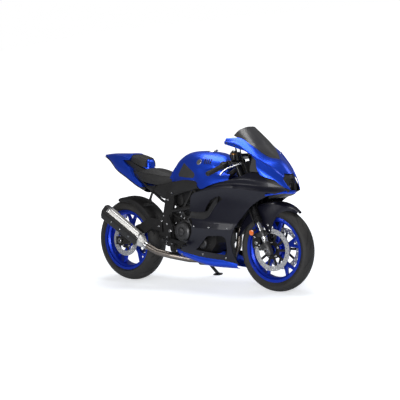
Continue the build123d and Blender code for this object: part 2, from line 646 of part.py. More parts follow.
def muffler():
    """Silencer can: a tapered inlet cone and a five-sided body open at the outlet."""
    frame_m = muffler_frame()
    cone_end = 70.0
    mouth = Pos(0, 0, cone_end) * fillet_outline(muffler_outline(0.92), 12)
    body = frame_m * loft([Circle(26).face(), mouth])
    can = loft([mouth,
                Pos(0, 0, MUFFLER_LENGTH - 30) * fillet_outline(muffler_outline(1.0), 12)])
    return body + frame_m * can


def fillet_outline(points, radius):
    face = make_face(Polyline(*points, close=True))
    return fillet(face.vertices(), radius)


def muffler_cap():
    """Outlet cap with a slanted mouth and a dark shield along the can's outer lower side."""
    frame_m = muffler_frame()
    start = MUFFLER_LENGTH - 29.5
    cap = loft([Pos(0, 0, start) * fillet_outline(muffler_outline(1.02), 12),
                Pos(0, 0, start + 52) * fillet_outline(muffler_outline(0.94), 12)])
    cap -= Pos(4, -4, start + 20) * Cylinder(25, 80, align=(Align.CENTER, Align.CENTER, Align.MIN))
    return frame_m * cap


ARM_Y, ARM_T = 129.0, 22.0                # swingarm beams at the axle
PIVOT_TUBE_HALF = PLATE_IN - 0.5


def swingarm():
    """Cast swingarm: pivot tube, cross beam, straight left arm and arched right arm with axle slots."""
    x, z = PIVOT
    left = [(x + 25, z - 25), (x + 25, z + 27), (430, 440), (120, 366), (-48, 346), (-48, 284), (110, 290),
            (420, 360)]
    right = [(x + 25, z - 25), (x + 25, z + 27), (440, 486), (300, 500), (150, 420), (40, 350), (-48, 346),
             (-48, 284), (60, 286), (180, 340), (320, 418), (430, 400)]
    low, high = ARM_Y - ARM_T / 2, ARM_Y + ARM_T / 2
    body = slab(left, low, high) + slab(right, -high, -low)
    beside_plate = [(432, 280), (432, 720), (620, 720), (620, 280)]
    body -= slab(beside_plate, PIVOT_TUBE_HALF, high + 5) + slab(beside_plate, -high - 5, -PIVOT_TUBE_HALF)
    body += cross_rod(x, z, -PIVOT_TUBE_HALF, PIVOT_TUBE_HALF, 27)
    beam = [(492, z - 27), (492, z + 25), (432, 444), (392, 430), (384, 372), (432, 366)]
    body += slab(beam, -low - 2, CHAIN_Y - CHAIN_HALF - 6)
    rear_beam = [(424, 372), (424, 440), (392, 430), (392, 364)]
    body += slab(rear_beam, CHAIN_Y - CHAIN_HALF - 8, low + 2)
    body -= slab([(380, 452), (600, 470), (600, 440), (380, 428)], CHAIN_Y - CHAIN_HALF - 5,
                 CHAIN_Y + CHAIN_HALF + 3)
    slot_half, clear = 16.0, REAR_AXLE_R + 0.1
    for side in (-1, 1):
        near, far = sorted((side * (low - 2), side * (high + 2)))
        for centre in (-slot_half, slot_half):
            body -= cross_rod(centre, REAR_TYRE_R, near, far, clear)
        body -= slab([(-slot_half, REAR_TYRE_R - clear), (slot_half, REAR_TYRE_R - clear),
                      (slot_half, REAR_TYRE_R + clear), (-slot_half, REAR_TYRE_R + clear)], near, far)
        body -= cross_rod(BOBBIN_AT[0], BOBBIN_AT[1], near, far, BOBBIN_R)
    return body - cross_rod(x, z, -PLATE_OUT, PLATE_OUT, PIVOT_BOLT_R + 0.05)


BOBBIN_AT, BOBBIN_R = (58.0, 322.0), 4.0  # threaded holes for a paddock stand's bobbins


def rear_shock():
    """Monoshock lying behind the engine: damper body with its coil spring."""
    low, high = Vector(440, 20, 520), Vector(556, 20, 640)
    body = rod(tuple(low), tuple(low + (high - low) * 0.55), 20)
    body += rod(tuple(low), tuple(high), 8)
    turns, coil_r, wire = 5, 30.0, 6.0
    length = (high - low).length - 30
    axis = Plane(origin=low + (high - low).normalized() * 15, z_dir=high - low)
    for i in range(turns):
        hoop = Pos(0, 0, 10 + i * (length - 20) / (turns - 1)) * Torus(coil_r, wire)
        body += axis * hoop
    for share in (0.04, 0.96):
        seat = axis * (Pos(0, 0, share * length) * Cylinder(coil_r + 8, 8))
        body += seat
    return body


def rear_hugger():
    """Mudguard over the front upper part of the rear tyre, carried by the swingarm."""
    faces = []
    rows = [
        # angle from forward, half width, skirt depth
        (12, 78, 30), (26, 84, 40), (40, 88, 46), (54, 88, 46), (68, 86, 42), (82, 82, 34), (96, 74, 20),
    ]
    for angle, half, drop in rows:
        outer = [(-half, -drop), (-half, 0), (-half * 0.5, 22), (half * 0.5, 22), (half, 0), (half, -drop)]
        a = math.radians(angle)
        plane = Plane(origin=(0, 0, 0), x_dir=(0, 1, 0), z_dir=(math.sin(a), 0, -math.cos(a)))
        section = plane * make_face(Polyline(*(outer + inset(outer, 3.0)[::-1]), close=True))
        reach = REAR_TYRE_R + 16
        faces.append(Pos(reach * math.cos(a), 0, REAR_TYRE_R + reach * math.sin(a)) * section)
    return loft(faces, ruled=True)


SPACER_R = 17.0                           # sleeves between the arms and the rear hub


def rear_axle():
    """Hollow rear spindle with spacers, adjuster blocks and its head."""
    z = REAR_TYRE_R
    end = ARM_Y + ARM_T / 2
    body = cross_rod(0, z, -end - 16, end + 12, REAR_AXLE_R)
    body += cross_rod(0, z, end, end + 12, 19) + cross_rod(0, z, -end - 12, -end, 19)
    body += cross_rod(0, z, CHAIN_Y + SPROCKET_T / 2 + 1.5, ARM_Y - ARM_T / 2, SPACER_R)
    body += cross_rod(0, z, -ARM_Y + ARM_T / 2, -REAR_HUB_HALF - 1, SPACER_R)
    return body - cross_rod(0, z, -end - 20, end + 20, AXLE_BORE_R)


def rear_caliper():
    """Single-piston caliper on its bracket, behind and above the rear disc."""
    z = REAR_TYRE_R
    block = [(70, z + 40), (118, z + 62), (138, z + 40), (128, z - 6), (96, z - 14), (74, z + 2)]
    body = slab(block, REAR_DISC_Y - 19, REAR_DISC_Y + 19)
    return body - ring(REAR_AXLE, 30, REAR_DISC_R + 5, REAR_DISC_Y - 7.3, REAR_DISC_Y + 7.3)


def footrest_hangers():
    """Alloy footrest hangers with pegs, brake and gear pedals, and the folded pillion pegs."""
    made = []
    for side in (-1, 1):
        near, far = sorted((side * (PLATE_OUT + 0.5), side * (PLATE_OUT + 12)))
        hanger = slab([(488, 520), (516, 524), (552, 430), (560, 350), (530, 330), (508, 352), (516, 420)],
                      near, far)
        hanger -= cross_rod(PIVOT[0], PIVOT[1], near - 1, far + 1, PIVOT_BOLT_R + 8)
        hanger += cross_rod(534, 352, *sorted((side * (PLATE_OUT + 10), side * 258)), 11)
        near, far = sorted((side * 180, side * 190))
        hanger += slab([(534, 342), (534, 362), (690, 332), (706, 310), (690, 300)], near, far)
        hanger += cross_rod(696, 316, *sorted((side * 181, side * 222)), 8)
        made.append(hanger)
        near, far = sorted((side * 104.5, side * 112))
        post = slab([(330, 745), (348, 745), (300, 640), (312, 590), (296, 588), (280, 640)], near, far)
        post += cross_rod(304, 600, *sorted((side * 108, side * 190)), 9)
        made.append(post)
    return made


STAND_TUBE_R, STAND_BOLT_R = 12.0, 6.0


def floor_height(y):
    """Height of the tilted ground at y, for the leaning machine drawn upright."""
    lean = math.radians(LEAN)
    return (y * math.sin(lean) - GROUND_SINK) / math.cos(lean)


def tyre_reach(radius, width, crown):
    """How far a leaning tyre's lowest point lies under its axle."""
    lean = math.radians(LEAN)
    t = math.atan(width / 2 / crown * math.tan(lean))
    return width / 2 * math.sin(t) * math.sin(lean) + (radius - crown * (1 - math.cos(t))) * math.cos(lean)


GROUND_SINK = tyre_reach(REAR_TYRE_R, REAR_TYRE_W, REAR_CROWN) - REAR_TYRE_R * math.cos(math.radians(LEAN))


def side_stand():
    """Side stand leg from its forked pivot to a flat foot plate on the ground."""
    foot_x, foot_y = STAND_FOOT
    foot_z = floor_height(foot_y)
    lean = math.radians(LEAN)
    up = Vector(0, -math.sin(lean), math.cos(lean))
    ground = Plane(origin=(foot_x, foot_y, foot_z), x_dir=(1, 0, 0), z_dir=up)
    sole = Polyline((-34, -20), (-20, -28), (26, -24), (38, 0), (26, 24), (-20, 28), (-34, 20), close=True)
    plate = ground * extrude(make_face(sole), amount=7)
    px, py, pz = STAND_PIVOT
    hinge = stand_axis()
    top = Vector(px, py, pz)
    foot_top = Vector(foot_x, foot_y, foot_z) + up * 5
    leg = rod(tuple(top + (foot_top - top).normalized() * 14), tuple(foot_top), STAND_TUBE_R)
    hinge_frame = Plane(origin=top, z_dir=hinge)
    leg -= hinge_frame * (Cylinder(26, 60) - Cylinder(27, 17))
    eye = hinge_frame * (Cylinder(18, 17) - Cylinder(STAND_BOLT_R + 0.06, 40))
    below = Plane(origin=(foot_x, foot_y, foot_z), x_dir=(1, 0, 0), z_dir=up) * Pos(0, 0, -60) * Box(
        300, 300, 120, align=(Align.CENTER, Align.CENTER, Align.CENTER))
    return (plate + (leg - below)) + eye


def stand_axis():
    """Unit vector along the stand's hinge, square to the leg and tipped so that it folds inwards."""
    top = Vector(*STAND_PIVOT)
    leg = (Vector(STAND_FOOT[0], STAND_FOOT[1], floor_height(STAND_FOOT[1])) - top).normalized()
    across = Vector(0, 1, 0.35).normalized()
    return (across - leg * across.dot(leg)).normalized()


def stand_bracket():
    """Forked lug under the left pivot plate with the stand's hinge bolt."""
    top = Vector(*STAND_PIVOT)
    hinge = stand_axis()
    up = Vector(-0.25, 0, 1)
    fork_frame = Plane(origin=top, z_dir=hinge, x_dir=up - hinge * up.dot(hinge))
    body = fork_frame * (Pos(34, 0, 0) * Box(16, 34, 36))
    for side in (-1, 1):
        body += fork_frame * (Pos(0, 0, side * 13.75) * Cylinder(17, 8.5))
        body += fork_frame * (Pos(17, 0, side * 13.75) * Box(34, 34, 8.5))
    body += fork_frame * Cylinder(STAND_BOLT_R, 44)
    stem = fork_frame.from_local_coords(Vector(36, 0, 0))
    return body + rod(tuple(stem), (528, PLATE_IN + 11, 312), 14)


# ---------------------------------------------------------------- bodywork
def fuel_tank():
    """Tank with a waisted knee recess behind, a broad shoulder and side wings that meet the fairing."""
    rows = [
        # x, top z, crease y and z, widest y and z, foot y, foot z
        (462, 836, 52, 828, 74, 800, 70, 772), (508, 894, 60, 882, 88, 838, 84, 774),
        (560, 946, 70, 930, 100, 868, 92, 778), (640, 986, 86, 966, 120, 900, 104, 784),
        (745, 998, 96, 976, 150, 912, 128, 790), (845, 990, 92, 970, 160, 902, 150, 790),
        (935, 975, 80, 956, 148, 896, 148, 800), (990, 952, 66, 936, 112, 886, 120, 820),
        (1022, 905, 40, 900, 74, 880, 80, 850),
    ]
    body = hull([(x, [(0, top), (yc, zc), (yw, zw), (yf, zf), (0, zf)])
                 for x, top, yc, zc, yw, zw, yf, zf in rows])
    wing_rows = [
        # x, then y and z of the lower edge, middle and upper edge of the right wing
        (782, (-170, 778), (-166, 812), (-148, 850)), (840, (-184, 730), (-176, 796), (-150, 858)),
        (930, (-190, 756), (-182, 806), (-150, 852)), (1020, (-192, 776), (-186, 806), (-166, 830)),
        (1108, (-190, 794), (-186, 812), (-176, 828)),
    ]
    wing = shell([(x, [low, mid, top]) for x, low, mid, top in wing_rows])
    shelf = slab([(800, 800), (985, 838), (985, 846), (800, 812)], -176, -100)
    for piece in (wing, shelf):
        body += piece
        body += mirror(piece, about=Plane.XZ)
    x, _, z = LID_AT
    well = Pos(x, 0, LID_FLOOR) * Cylinder(LID_R + 1.0, 60, align=(Align.CENTER, Align.CENTER, Align.MIN))
    body -= well
    hinge_x, hinge_z = LID_HINGE
    for side in (-1, 1):
        near, far = sorted((side * 9.5, side * 15))
        body += slab([(hinge_x - 4, z - 12), (hinge_x + 14, z - 14), (hinge_x + 5, hinge_z + 5),
                      (hinge_x - 4, hinge_z + 5)], near, far)
    return body + cross_rod(hinge_x, hinge_z, -14, 14, LID_PIN_R)


LID_AT = (812.0, 0.0, 990.0)              # filler in the tank's top
LID_R, LID_FLOOR = 44.0, 974.0
LID_HINGE, LID_PIN_R = (863.0, 1003.0), 1.5


def fuel_lid():
    """Hinged filler lid: a turned cap with a key recess and its hinge knuckle at the front."""
    x, _, z = LID_AT
    hinge_x, hinge_z = LID_HINGE
    profile = [(0, LID_FLOOR + 2), (LID_R - 8, LID_FLOOR + 2), (LID_R - 2, LID_FLOOR + 8),
               (LID_R - 2, z + 4), (LID_R - 5, z + 8), (LID_R - 14, z + 9), (LID_R - 16, z + 7), (0, z + 7)]
    cap = Location((x, 0, 0)) * revolve(Plane.XZ * make_face(Polyline(*profile, close=True)), axis=Axis.Z)
    tongue = slab([(x + 30, z + 4), (hinge_x, hinge_z - 5), (hinge_x, hinge_z + 4), (x + 30, z + 7.5)],
                  -9, 9)
    knuckle = cross_rod(hinge_x, hinge_z, -9, 9, 5)
    key = Pos(x - 8, 0, z + 7) * Box(26, 12, 5)
    return cap + tongue + knuckle - key - cross_rod(hinge_x, hinge_z, -10, 10, LID_PIN_R + 0.06)


def side_covers():
    """Dark covers between the seat, the tank and the fairing."""
    rows = [
        # x, lower y and z, upper y and z, of the right cover
        (430, (-112, 722), (-112, 756)), (520, (-151, 706), (-136, 762)), (590, (-154, 704), (-144, 784)),
        (700, (-158, 716), (-148, 782)), (776, (-168, 722), (-160, 778)),
    ]
    cover = shell([(x, [low, top]) for x, low, top in rows])
    return both(cover)


def rider_seat():
    """Rider's seat: crowned pad, broad behind and narrow where it meets the tank."""
    rows = [
        # x, top z, edge y and z, lower edge y and z
        (150, 844, 84, 838, 70, 824), (236, 862, 118, 842, 116, 812), (330, 853, 120, 822, 118, 790),
        (430, 822, 92, 800, 96, 768), (500, 806, 70, 796, 76, 772),
    ]
    return hull([(x, [(0, top), (ye * 0.6, top - 6), (ye, ze), (yl, zl), (0, zl)])
                 for x, top, ye, ze, yl, zl in rows])


def pillion_seat():
    """Pillion pad set into the raised tail."""
    rows = [(74, 962, 52, 956, 58, 938), (130, 962, 82, 944, 86, 916), (210, 938, 92, 915, 94, 886),
            (276, 892, 78, 884, 84, 868)]
    return hull([(x, [(0, top), (ye * 0.6, top - 4), (ye, ze), (yl, zl), (0, zl)])
                 for x, top, ye, ze, yl, zl in rows])


def tail_cowl():
    """Tail fairing: a blade-like shell rising to a point, with a deep recess in each side."""
    rows = [
        # x, top z, shoulder y and z, waist y and z, keel y, keel z
        (-273, 976, 14, 974, 16, 970, 8, 966), (-174, 985, 46, 972, 54, 956, 20, 936),
        (-98, 985, 66, 970, 78, 936, 40, 884), (0, 984, 84, 962, 100, 922, 56, 826),
        (72, 966, 92, 944, 108, 900, 72, 786),
    ]
    body = hull([(x, [(0, top), (ys, zs), (yw, zw), (yk, zk), (0, zk)])
                 for x, top, ys, zs, yw, zw, yk, zk in rows])
    rows = [
        (72, 934, 88, 930, 108, 900, 72, 786), (142, 910, 92, 906, 112, 880, 96, 852),
        (210, 884, 98, 880, 112, 874, 108, 868), (286, 876, 84, 874, 92, 870, 88, 867),
    ]
    seat_bed = hull([(x, [(0, top), (ys, zs), (yw, zw), (yk, zk), (0, zk)])
                     for x, top, ys, zs, yw, zw, yk, zk in rows])
    body += seat_bed
    recess = [(-60, 944), (20, 938), (100, 900), (200, 868), (190, 852), (90, 842), (20, 890)]
    for low, high in ((-140, -60), (60, 140)):
        body -= slab(recess, low, high)
    return body - slab([(290, 780), (130, 780), (130, 850), (290, 866)], -140, 140)


def lamps():
    """Projector headlamp in the nose, slim side lamps and the tail lamp."""
    x, z = 1488, 752
    head = rod((x - 60, 0, z + 10), (x + 6, 0, z), 34) + Pos(x + 6, 0, z) * Rot(0, 90, 0) * Cylinder(30, 8)
    tail = slab([(-262, 962), (-180, 934), (-170, 946), (-186, 952)], -34, 34)
    return [head, tail]


def cowl_surface():
    """Stations of the right half of the nose: x, then (y, z) from the lower edge to the top."""
    return [
        (1074, [(-178, 1036), (-180, 1050), (-177, 1062), (-171, 1074), (-166, 1082), (-160, 1088)]),
        (1180, [(-196, 990), (-197, 1020), (-186, 1042), (-166, 1062), (-146, 1078), (-137, 1084)]),
        (1290, [(-196, 900), (-200, 950), (-182, 988), (-154, 1010), (-130, 1018), (-119, 1020)]),
        (1380, [(-184, 820), (-180, 872), (-150, 922), (-114, 946), (-78, 952), (-52, 950)]),
        (1440, [(-158, 780), (-146, 836), (-116, 884), (-78, 914), (-38, 926), (0, 929)]),
        (1500, [(-122, 750), (-108, 796), (-82, 832), (-54, 852), (-26, 862), (0, 864)]),
        (1540, [(-88, 734), (-78, 766), (-60, 790), (-40, 802), (-20, 808), (0, 810)]),
        (1566, [(-60, 726), (-52, 742), (-40, 754), (-26, 760), (-12, 762), (0, 763)]),
    ]


def nose_cowl():
    """Upper fairing: two swept cheeks with mirrorless ears that join over the nose."""
    half = shell(cowl_surface())
    outline = [(1072, 1092), (1078, 1046), (1177, 1024), (1265, 999), (1309, 974), (1351, 932), (1372, 860),
               (1405, 826), (1490, 796), (1575, 748), (1600, 740), (1600, 1000), (1300, 1100)]
    half = half & slab(outline, -260, 0)
    mouth = slab([(1496, 822), (1545, 742), (1620, 700), (1620, 822)], -46, 46)
    body = half + mirror(half, about=Plane.XZ)
    return body - mouth


def windscreen():
    """Tinted double-curved screen with a raked upper edge."""
    rows = [
        # x, half width, edge z, centre z
        (1130, 136, 1106, 1215), (1220, 132, 1060, 1117), (1290, 114, 1019, 1038), (1346, 80, 968, 981),
        (1392, 24, 936, 939),
    ]
    stations = []
    for x, half, edge, centre in rows:
        rise = centre - edge
        arch = [(-half, edge), (-half * 0.75, edge + rise * 0.5), (-half * 0.4, edge + rise * 0.87),
                (0, centre)]
        arch = arch + [(-y, z) for y, z in arch[-2::-1]]
        stations.append((x, [(y * 0.985, z + 5) for y, z in arch]))
    sheet = shell(stations, 3.0)
    return sheet - slab([(1100, 1079), (1128, 1103), (1192, 1158), (1192, 1260), (1100, 1260)], -200, 200)


def nose_panel():
    """Black centre of the nose: intake mouth above the chin, under the headlamp."""
    rows = [
        # x, half width, top z, bottom z
        (1400, 96, 800, 656), (1470, 84, 790, 672), (1530, 58, 776, 700), (1556, 40, 745, 716),
    ]
    faces = [in_section(x, [(-half, low), (-half * 0.9, top), (half * 0.9, top), (half, low)])
             for x, half, top, low in rows]
    block = loft(faces, ruled=True)
    duct = [(1390, 96, 800, 656)] + rows[1:3] + [(1570, 40, 745, 716)]
    faces = [in_section(x, [(-half + 5, low + 5), (-half * 0.9 + 5, top - 5), (half * 0.9 - 5, top - 5),
                            (half - 5, low + 5)])
             for x, half, top, low in duct]
    return block - loft(faces, ruled=True)


def fairing_side():
    """Right side fairing: ridge at the shoulder, tucked in below, turned in ahead of the radiator."""
    heights = [150, 250, 400, 560, 722, 790, 862]
    widths = {
        # x: half width at each of the heights
        560: [84, 132, 150, 160, 176, 168, 160], 760: [92, 146, 172, 188, 205, 190, 182],
        950: [86, 142, 176, 196, 212, 198, 188], 1090: [60, 108, 162, 192, 214, 200, 190],
        1250: [50, 90, 150, 182, 208, 196, 188], 1400: [40, 70, 110, 140, 166, 158, 150],
        1560: [20, 30, 44, 56, 78, 74, 70],
    }
    return [(x, [(-w, z) for w, z in zip(row, heights)]) for x, row in widths.items()]


FAIRING_OUTLINE = [
    (832, 714), (771, 676), (740, 573), (766, 465), (725, 369), (604, 268), (788, 230), (993, 211),
    (1104, 172), (1082, 278), (1085, 340), (1130, 420), (1182, 499), (1219, 535), (1309, 622), (1414, 679),
    (1545, 720), (1552, 736), (1490, 784), (1405, 812), (1345, 846), (1288, 846), (1217, 819), (1128, 797),
    (990, 758),
]
FAIRING_WINDOW = [(812, 334), (889, 388), (1000, 393), (1050, 373), (1056, 295), (1040, 258), (820, 284)]
FAIRING_VENT = [(880, 545), (935, 530), (985, 655), (900, 632)]


def side_fairings():
    """Both side fairings, each with the engine window and the hot air vent cut through."""
    panel = shell(fairing_side()) & slab(FAIRING_OUTLINE, -260, -10)
    panel -= slab(FAIRING_WINDOW, -260, -10)
    panel -= slab(FAIRING_VENT, -260, -10)
    return both(panel)


def belly_pan():
    """Lower fairing round the sump, open underneath for the exhaust."""
    rows = [
        # x, top half width and z, bottom half width and z
        (572, 118, 262, 96, 236), (700, 138, 240, 100, 196), (850, 138, 217, 92, 160),
        (1000, 118, 200, 66, 150), (1094, 88, 172, 44, 148),
    ]
    pan = shell([(x, [(wt, zt), (wb, zb), (-wb, zb), (-wt, zt)]) for x, wt, zt, wb, zb in rows])
    pan -= slab([(540, 100), (985, 100), (1010, 175), (540, 230)], -62, 62)
    return pan - slab([(540, 150), (668, 150), (668, 300), (540, 300)], 50, 160)


STAY_R = 7.0


def instrument_stay():
    """Bracket from the head tube to the nose with the meter on it."""
    stay = None
    for side in (-1, 1):
        bar = tube([(1136, side * 12, 862), (1290, side * 32, 880), (1392, side * 64, 846)], 40, STAY_R)
        stay = bar if stay is None else stay + bar
    stay += rod((1290, -40, 880), (1290, 40, 880), STAY_R)
    meter = Plane(origin=(1262, 0, 965), x_dir=(0, -1, 0), z_dir=(-0.8, 0, 0.6)) * Box(150, 84, 26)
    post = rod((1288, 0, 880), (1268, 0, 958), 9)
    return stay + post + meter


def brake_hoses():
    """Two front brake hoses from the master cylinder side down to the calipers."""
    made = []
    for side in (-1, 1):
        route = [(34, side * 52, 1120), (66, side * 58, 1142), (104, side * 96, 1096),
                 (90, side * 100, 1000), (90, side * 100, 780), (50, side * 66, 724), (-2, side * 66, 686), (-8, side * 98, 620),
                 (-8, side * 98, 520), (-30, side * 78, 482)]
        made.append(in_steer(tube(route, [12, 24, 30, 40, 24, 20, 20, 20], 4.0)))
    return made


# ---------------------------------------------------------------- assembly
SEATED = {
    # piece: the neighbours that it is cut back to, or bored for
    "exhaust_headers": ("engine", "muffler"),
    "rider_seat": ("fuel_tank",),
    "tail_cowl": ("subframe", "lamps", "rider_seat", "pillion_seat"),
    "nose_panel": ("lamps",),
    "windscreen": ("nose_cowl",),
    "fuel_tank": ("frame",),
    "engine": ("frame",),
    "instrument_stay": ("frame",),
}


def clip(piece, *neighbours):
    """The piece with the room its neighbours take left out of it."""
    solids = piece if isinstance(piece, list) else [piece]
    cut = []
    for solid in solids:
        for other in neighbours:
            for block in (other if isinstance(other, list) else [other]):
                solid = solid - block
        cut.append(solid)
    return cut


def build():
    """Every node of the upright machine by name."""
    nodes = {}
    nodes["front_tyre"] = tyre(FRONT_AXLE, FRONT_TYRE_R, FRONT_TYRE_W, FRONT_CROWN, FRONT_RIM_W)
    nodes["rear_tyre"] = tyre(REAR_AXLE, REAR_TYRE_R, REAR_TYRE_W, REAR_CROWN, REAR_RIM_W)
    nodes["front_rim"] = front_rim()
    nodes["rear_rim"] = rear_rim()
    nodes["front_discs"] = front_discs()
    nodes["rear_disc"] = rear_disc()
    nodes["rear_sprocket"] = rear_sprocket()
    nodes["chain"] = chain()
    nodes["yokes"] = yokes()
    nodes["fork_outers"] = fork_outers()
    nodes["fork_legs"] = fork_legs()
    nodes["front_axle"] = front_axle()
    nodes["handlebars"] = handlebars()
    nodes["grips"] = grips()
    nodes["hand_controls"] = hand_controls()
    nodes["front_calipers"] = front_calipers()
    nodes["front_fender"] = front_fender()
    nodes["brake_hoses"] = brake_hoses()
    nodes["frame"] = frame()
    nodes["subframe"] = subframe()
    nodes["engine"] = engine()
    nodes["engine_covers"] = engine_covers()
    nodes["radiator"] = radiator()
    nodes["exhaust_headers"] = exhaust_headers()
    nodes["muffler"] = muffler()
    nodes["muffler_cap"] = muffler_cap()
    nodes["swingarm"] = swingarm()
    nodes["rear_shock"] = rear_shock()
    nodes["rear_hugger"] = rear_hugger()
    nodes["rear_axle"] = rear_axle()
    nodes["rear_caliper"] = rear_caliper()
    nodes["footrest_hangers"] = footrest_hangers()
    nodes["side_stand"] = side_stand()
    nodes["fuel_tank"] = fuel_tank()
    nodes["fuel_lid"] = fuel_lid()
    nodes["side_covers"] = side_covers()
    nodes["rider_seat"] = rider_seat()
    nodes["pillion_seat"] = pillion_seat()
    nodes["tail_cowl"] = tail_cowl()
    nodes["lamps"] = lamps()
    nodes["nose_cowl"] = nose_cowl()
    nodes["windscreen"] = windscreen()
    nodes["nose_panel"] = nose_panel()
    nodes["side_fairings"] = side_fairings()
    nodes["belly_pan"] = belly_pan()
    nodes["instrument_stay"] = instrument_stay()
    for name, neighbours in SEATED.items():
        nodes[name] = clip(nodes[name], *[nodes[other] for other in neighbours])
    return nodes


def solids_of(shape):
    """All solids of a shape or a list of shapes."""
    shapes = shape if isinstance(shape, list) else [shape]
    return [solid for item in shapes for solid in item.solids()]


def main():
    nodes = build()
    solids = {name: solids_of(shape) for name, shape in nodes.items()}
    lean = Location((0, 0, 0), (-LEAN, 0, 0))
    leaned = {name: [lean * solid for solid in group] for name, group in solids.items()}
    box = Compound(children=[s for group in leaned.values() for s in group]).bounding_box()
    shift = Pos(-(box.min.X + box.max.X) / 2, -(box.min.Y + box.max.Y) / 2, -box.min.Z)
    os.makedirs("parts", exist_ok=True)
    for name, group in leaned.items():
        export_step(Compound(children=[shift * solid for solid in group]), f"parts/{name}.step")
    print("placement", LEAN, tuple(shift.position))


if __name__ == "__main__":
    main()
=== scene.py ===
"""Sport motorcycle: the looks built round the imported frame, as an add-on layout that runs as a script."""

import json
import math

import bmesh
import bpy
import numpy as np
from mathutils import Matrix, Vector


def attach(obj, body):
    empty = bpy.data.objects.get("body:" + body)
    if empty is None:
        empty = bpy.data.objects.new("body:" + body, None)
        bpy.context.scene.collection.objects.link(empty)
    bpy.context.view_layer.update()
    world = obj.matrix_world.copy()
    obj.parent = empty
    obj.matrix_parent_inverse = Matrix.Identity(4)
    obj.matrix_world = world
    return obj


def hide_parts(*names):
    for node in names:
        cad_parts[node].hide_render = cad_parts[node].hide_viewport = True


bl_info = {
    "name": "Sport motorcycle looks",
    "version": (1, 0, 0),
    "blender": (4, 5, 0),
    "location": "3D View > Sidebar > Motorcycle",
    "description": "Bodywork, soft parts, fittings, finishes and stage of a faired motorcycle",
    "category": "Object",
}

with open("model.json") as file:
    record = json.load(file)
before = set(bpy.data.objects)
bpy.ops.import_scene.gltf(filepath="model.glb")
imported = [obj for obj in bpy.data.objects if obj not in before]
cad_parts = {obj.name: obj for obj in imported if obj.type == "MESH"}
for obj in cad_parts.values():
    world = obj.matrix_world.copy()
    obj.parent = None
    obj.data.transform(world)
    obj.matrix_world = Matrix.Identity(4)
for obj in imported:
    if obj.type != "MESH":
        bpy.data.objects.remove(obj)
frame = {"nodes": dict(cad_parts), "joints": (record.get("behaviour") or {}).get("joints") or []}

LEAN = math.radians(11.0)                     # to the left, on the side stand
RAKE = math.radians(23.67)
STEER_FOOT = 1485.0                           # where the steering axis meets the ground
FRONT_AXLE = (1395.0, 300.0)                  # x and z, drawn upright, in millimetres
REAR_AXLE = (0.0, 315.0)
FORK_AHEAD, FORK_ASIDE = 38.0, 105.0          # fork tubes from the steering axis
SHEET_WALL = 3.0                              # screen and mudguards, in millimetres
UP = Matrix.Rotation(-LEAN, 3, "X")


def settle():
    """Shift from the upright drawing, once leaned, to the row frame."""
    wheel = next(j for j in frame["joints"] if j["name"] == "rear_wheel_spin")
    return Vector(wheel["pos_m"]) - UP @ Vector((0.0, 0.0, REAR_AXLE[1] / 1000))


SHIFT = settle()


def place(points):
    """Upright millimetres to the row frame's metres."""
    p = np.asarray(points, float).reshape(-1, 3) / 1000
    return p @ np.array(UP).T + np.array(SHIFT)


def steer(points):
    """Points in the steering's own axes (forward, left, up the stem) to upright millimetres."""
    p = np.asarray(points, float).reshape(-1, 3)
    cos, sin = math.cos(RAKE), math.sin(RAKE)
    return np.column_stack((STEER_FOOT + p[:, 0] * cos - p[:, 2] * sin, p[:, 1],
                            p[:, 0] * sin + p[:, 2] * cos))


def at_axle(centre):
    """Middle of an axle's line, in the row frame."""
    return Vector(place([(centre[0], 0, centre[1])])[0])


def around(centre, radius, angle, y):
    """Point on a circle about an axle, its angle in degrees from forward."""
    a = math.radians(angle)
    return (centre[0] + radius * math.cos(a), y, centre[1] + radius * math.sin(a))


# ------------------------------------------------------------------ meshes
def smooth_run(points, steps, sharp=()):
    """Smooth run through points along their first axis, with a corner kept at each sharp index."""
    p = np.asarray(points, float)
    cuts = [0, *sharp, len(p) - 1]
    out = []
    for a, b in zip(cuts[:-1], cuts[1:]):
        part = p[a:b + 1]
        step = np.linalg.norm(np.diff(part, axis=0), axis=-1)
        while step.ndim > 1:
            step = step.mean(axis=-1)
        t = np.concatenate(([0.0], np.cumsum(np.maximum(step, 1e-6))))
        slope = np.gradient(part, t, axis=0) if len(part) > 2 else np.repeat(
            (part[1:] - part[:1]) / t[1], 2, axis=0)
        for i in range(len(part) - 1):
            h = t[i + 1] - t[i]
            for k in range(steps):
                u = k / steps
                a0, a1 = 2 * u**3 - 3 * u**2 + 1, -2 * u**3 + 3 * u**2
                b0, b1 = u**3 - 2 * u**2 + u, u**3 - u**2
                out.append(a0 * part[i] + a1 * part[i + 1] + h * (b0 * slope[i] + b1 * slope[i + 1]))
    out.append(p[-1])
    return np.array(out)


def net(table, along, across, sharp=()):
    """Dense grid of points, smooth both ways, with a corner along each sharp column."""
    rows = smooth_run(np.array(table, float), along)
    return np.swapaxes(smooth_run(np.swapaxes(rows, 0, 1), across, sharp), 0, 1)


def skin(stations, along, across, sharp=()):
    """Dense grid of upright points from a table {x: [(y, z), ...]}."""
    table = [[(x, y, z) for y, z in line] for x, line in stations.items()]
    return net(table, along, across, sharp)


def grid_faces(rows, cols, start=0, flip=False, wrap=False):
    """Quads of a grid of points; wrap joins the last column to the first."""
    faces = []
    for i in range(rows - 1):
        for j in range(cols if wrap else cols - 1):
            k = (j + 1) % cols
            quad = (start + i * cols + j, start + i * cols + k, start + (i + 1) * cols + k,
                    start + (i + 1) * cols + j)
            faces.append(quad[::-1] if flip else quad)
    return faces


def ends(n, m):
    """The two end faces of n rings of m points."""
    return [tuple(range(m))[::-1], tuple(range((n - 1) * m, n * m))]


def closed(grid):
    """Points and faces of a grid whose rows are rings, closed at both ends."""
    n, m = grid.shape[:2]
    return grid.reshape(-1, 3), grid_faces(n, m, wrap=True) + [f[::-1] for f in ends(n, m)]


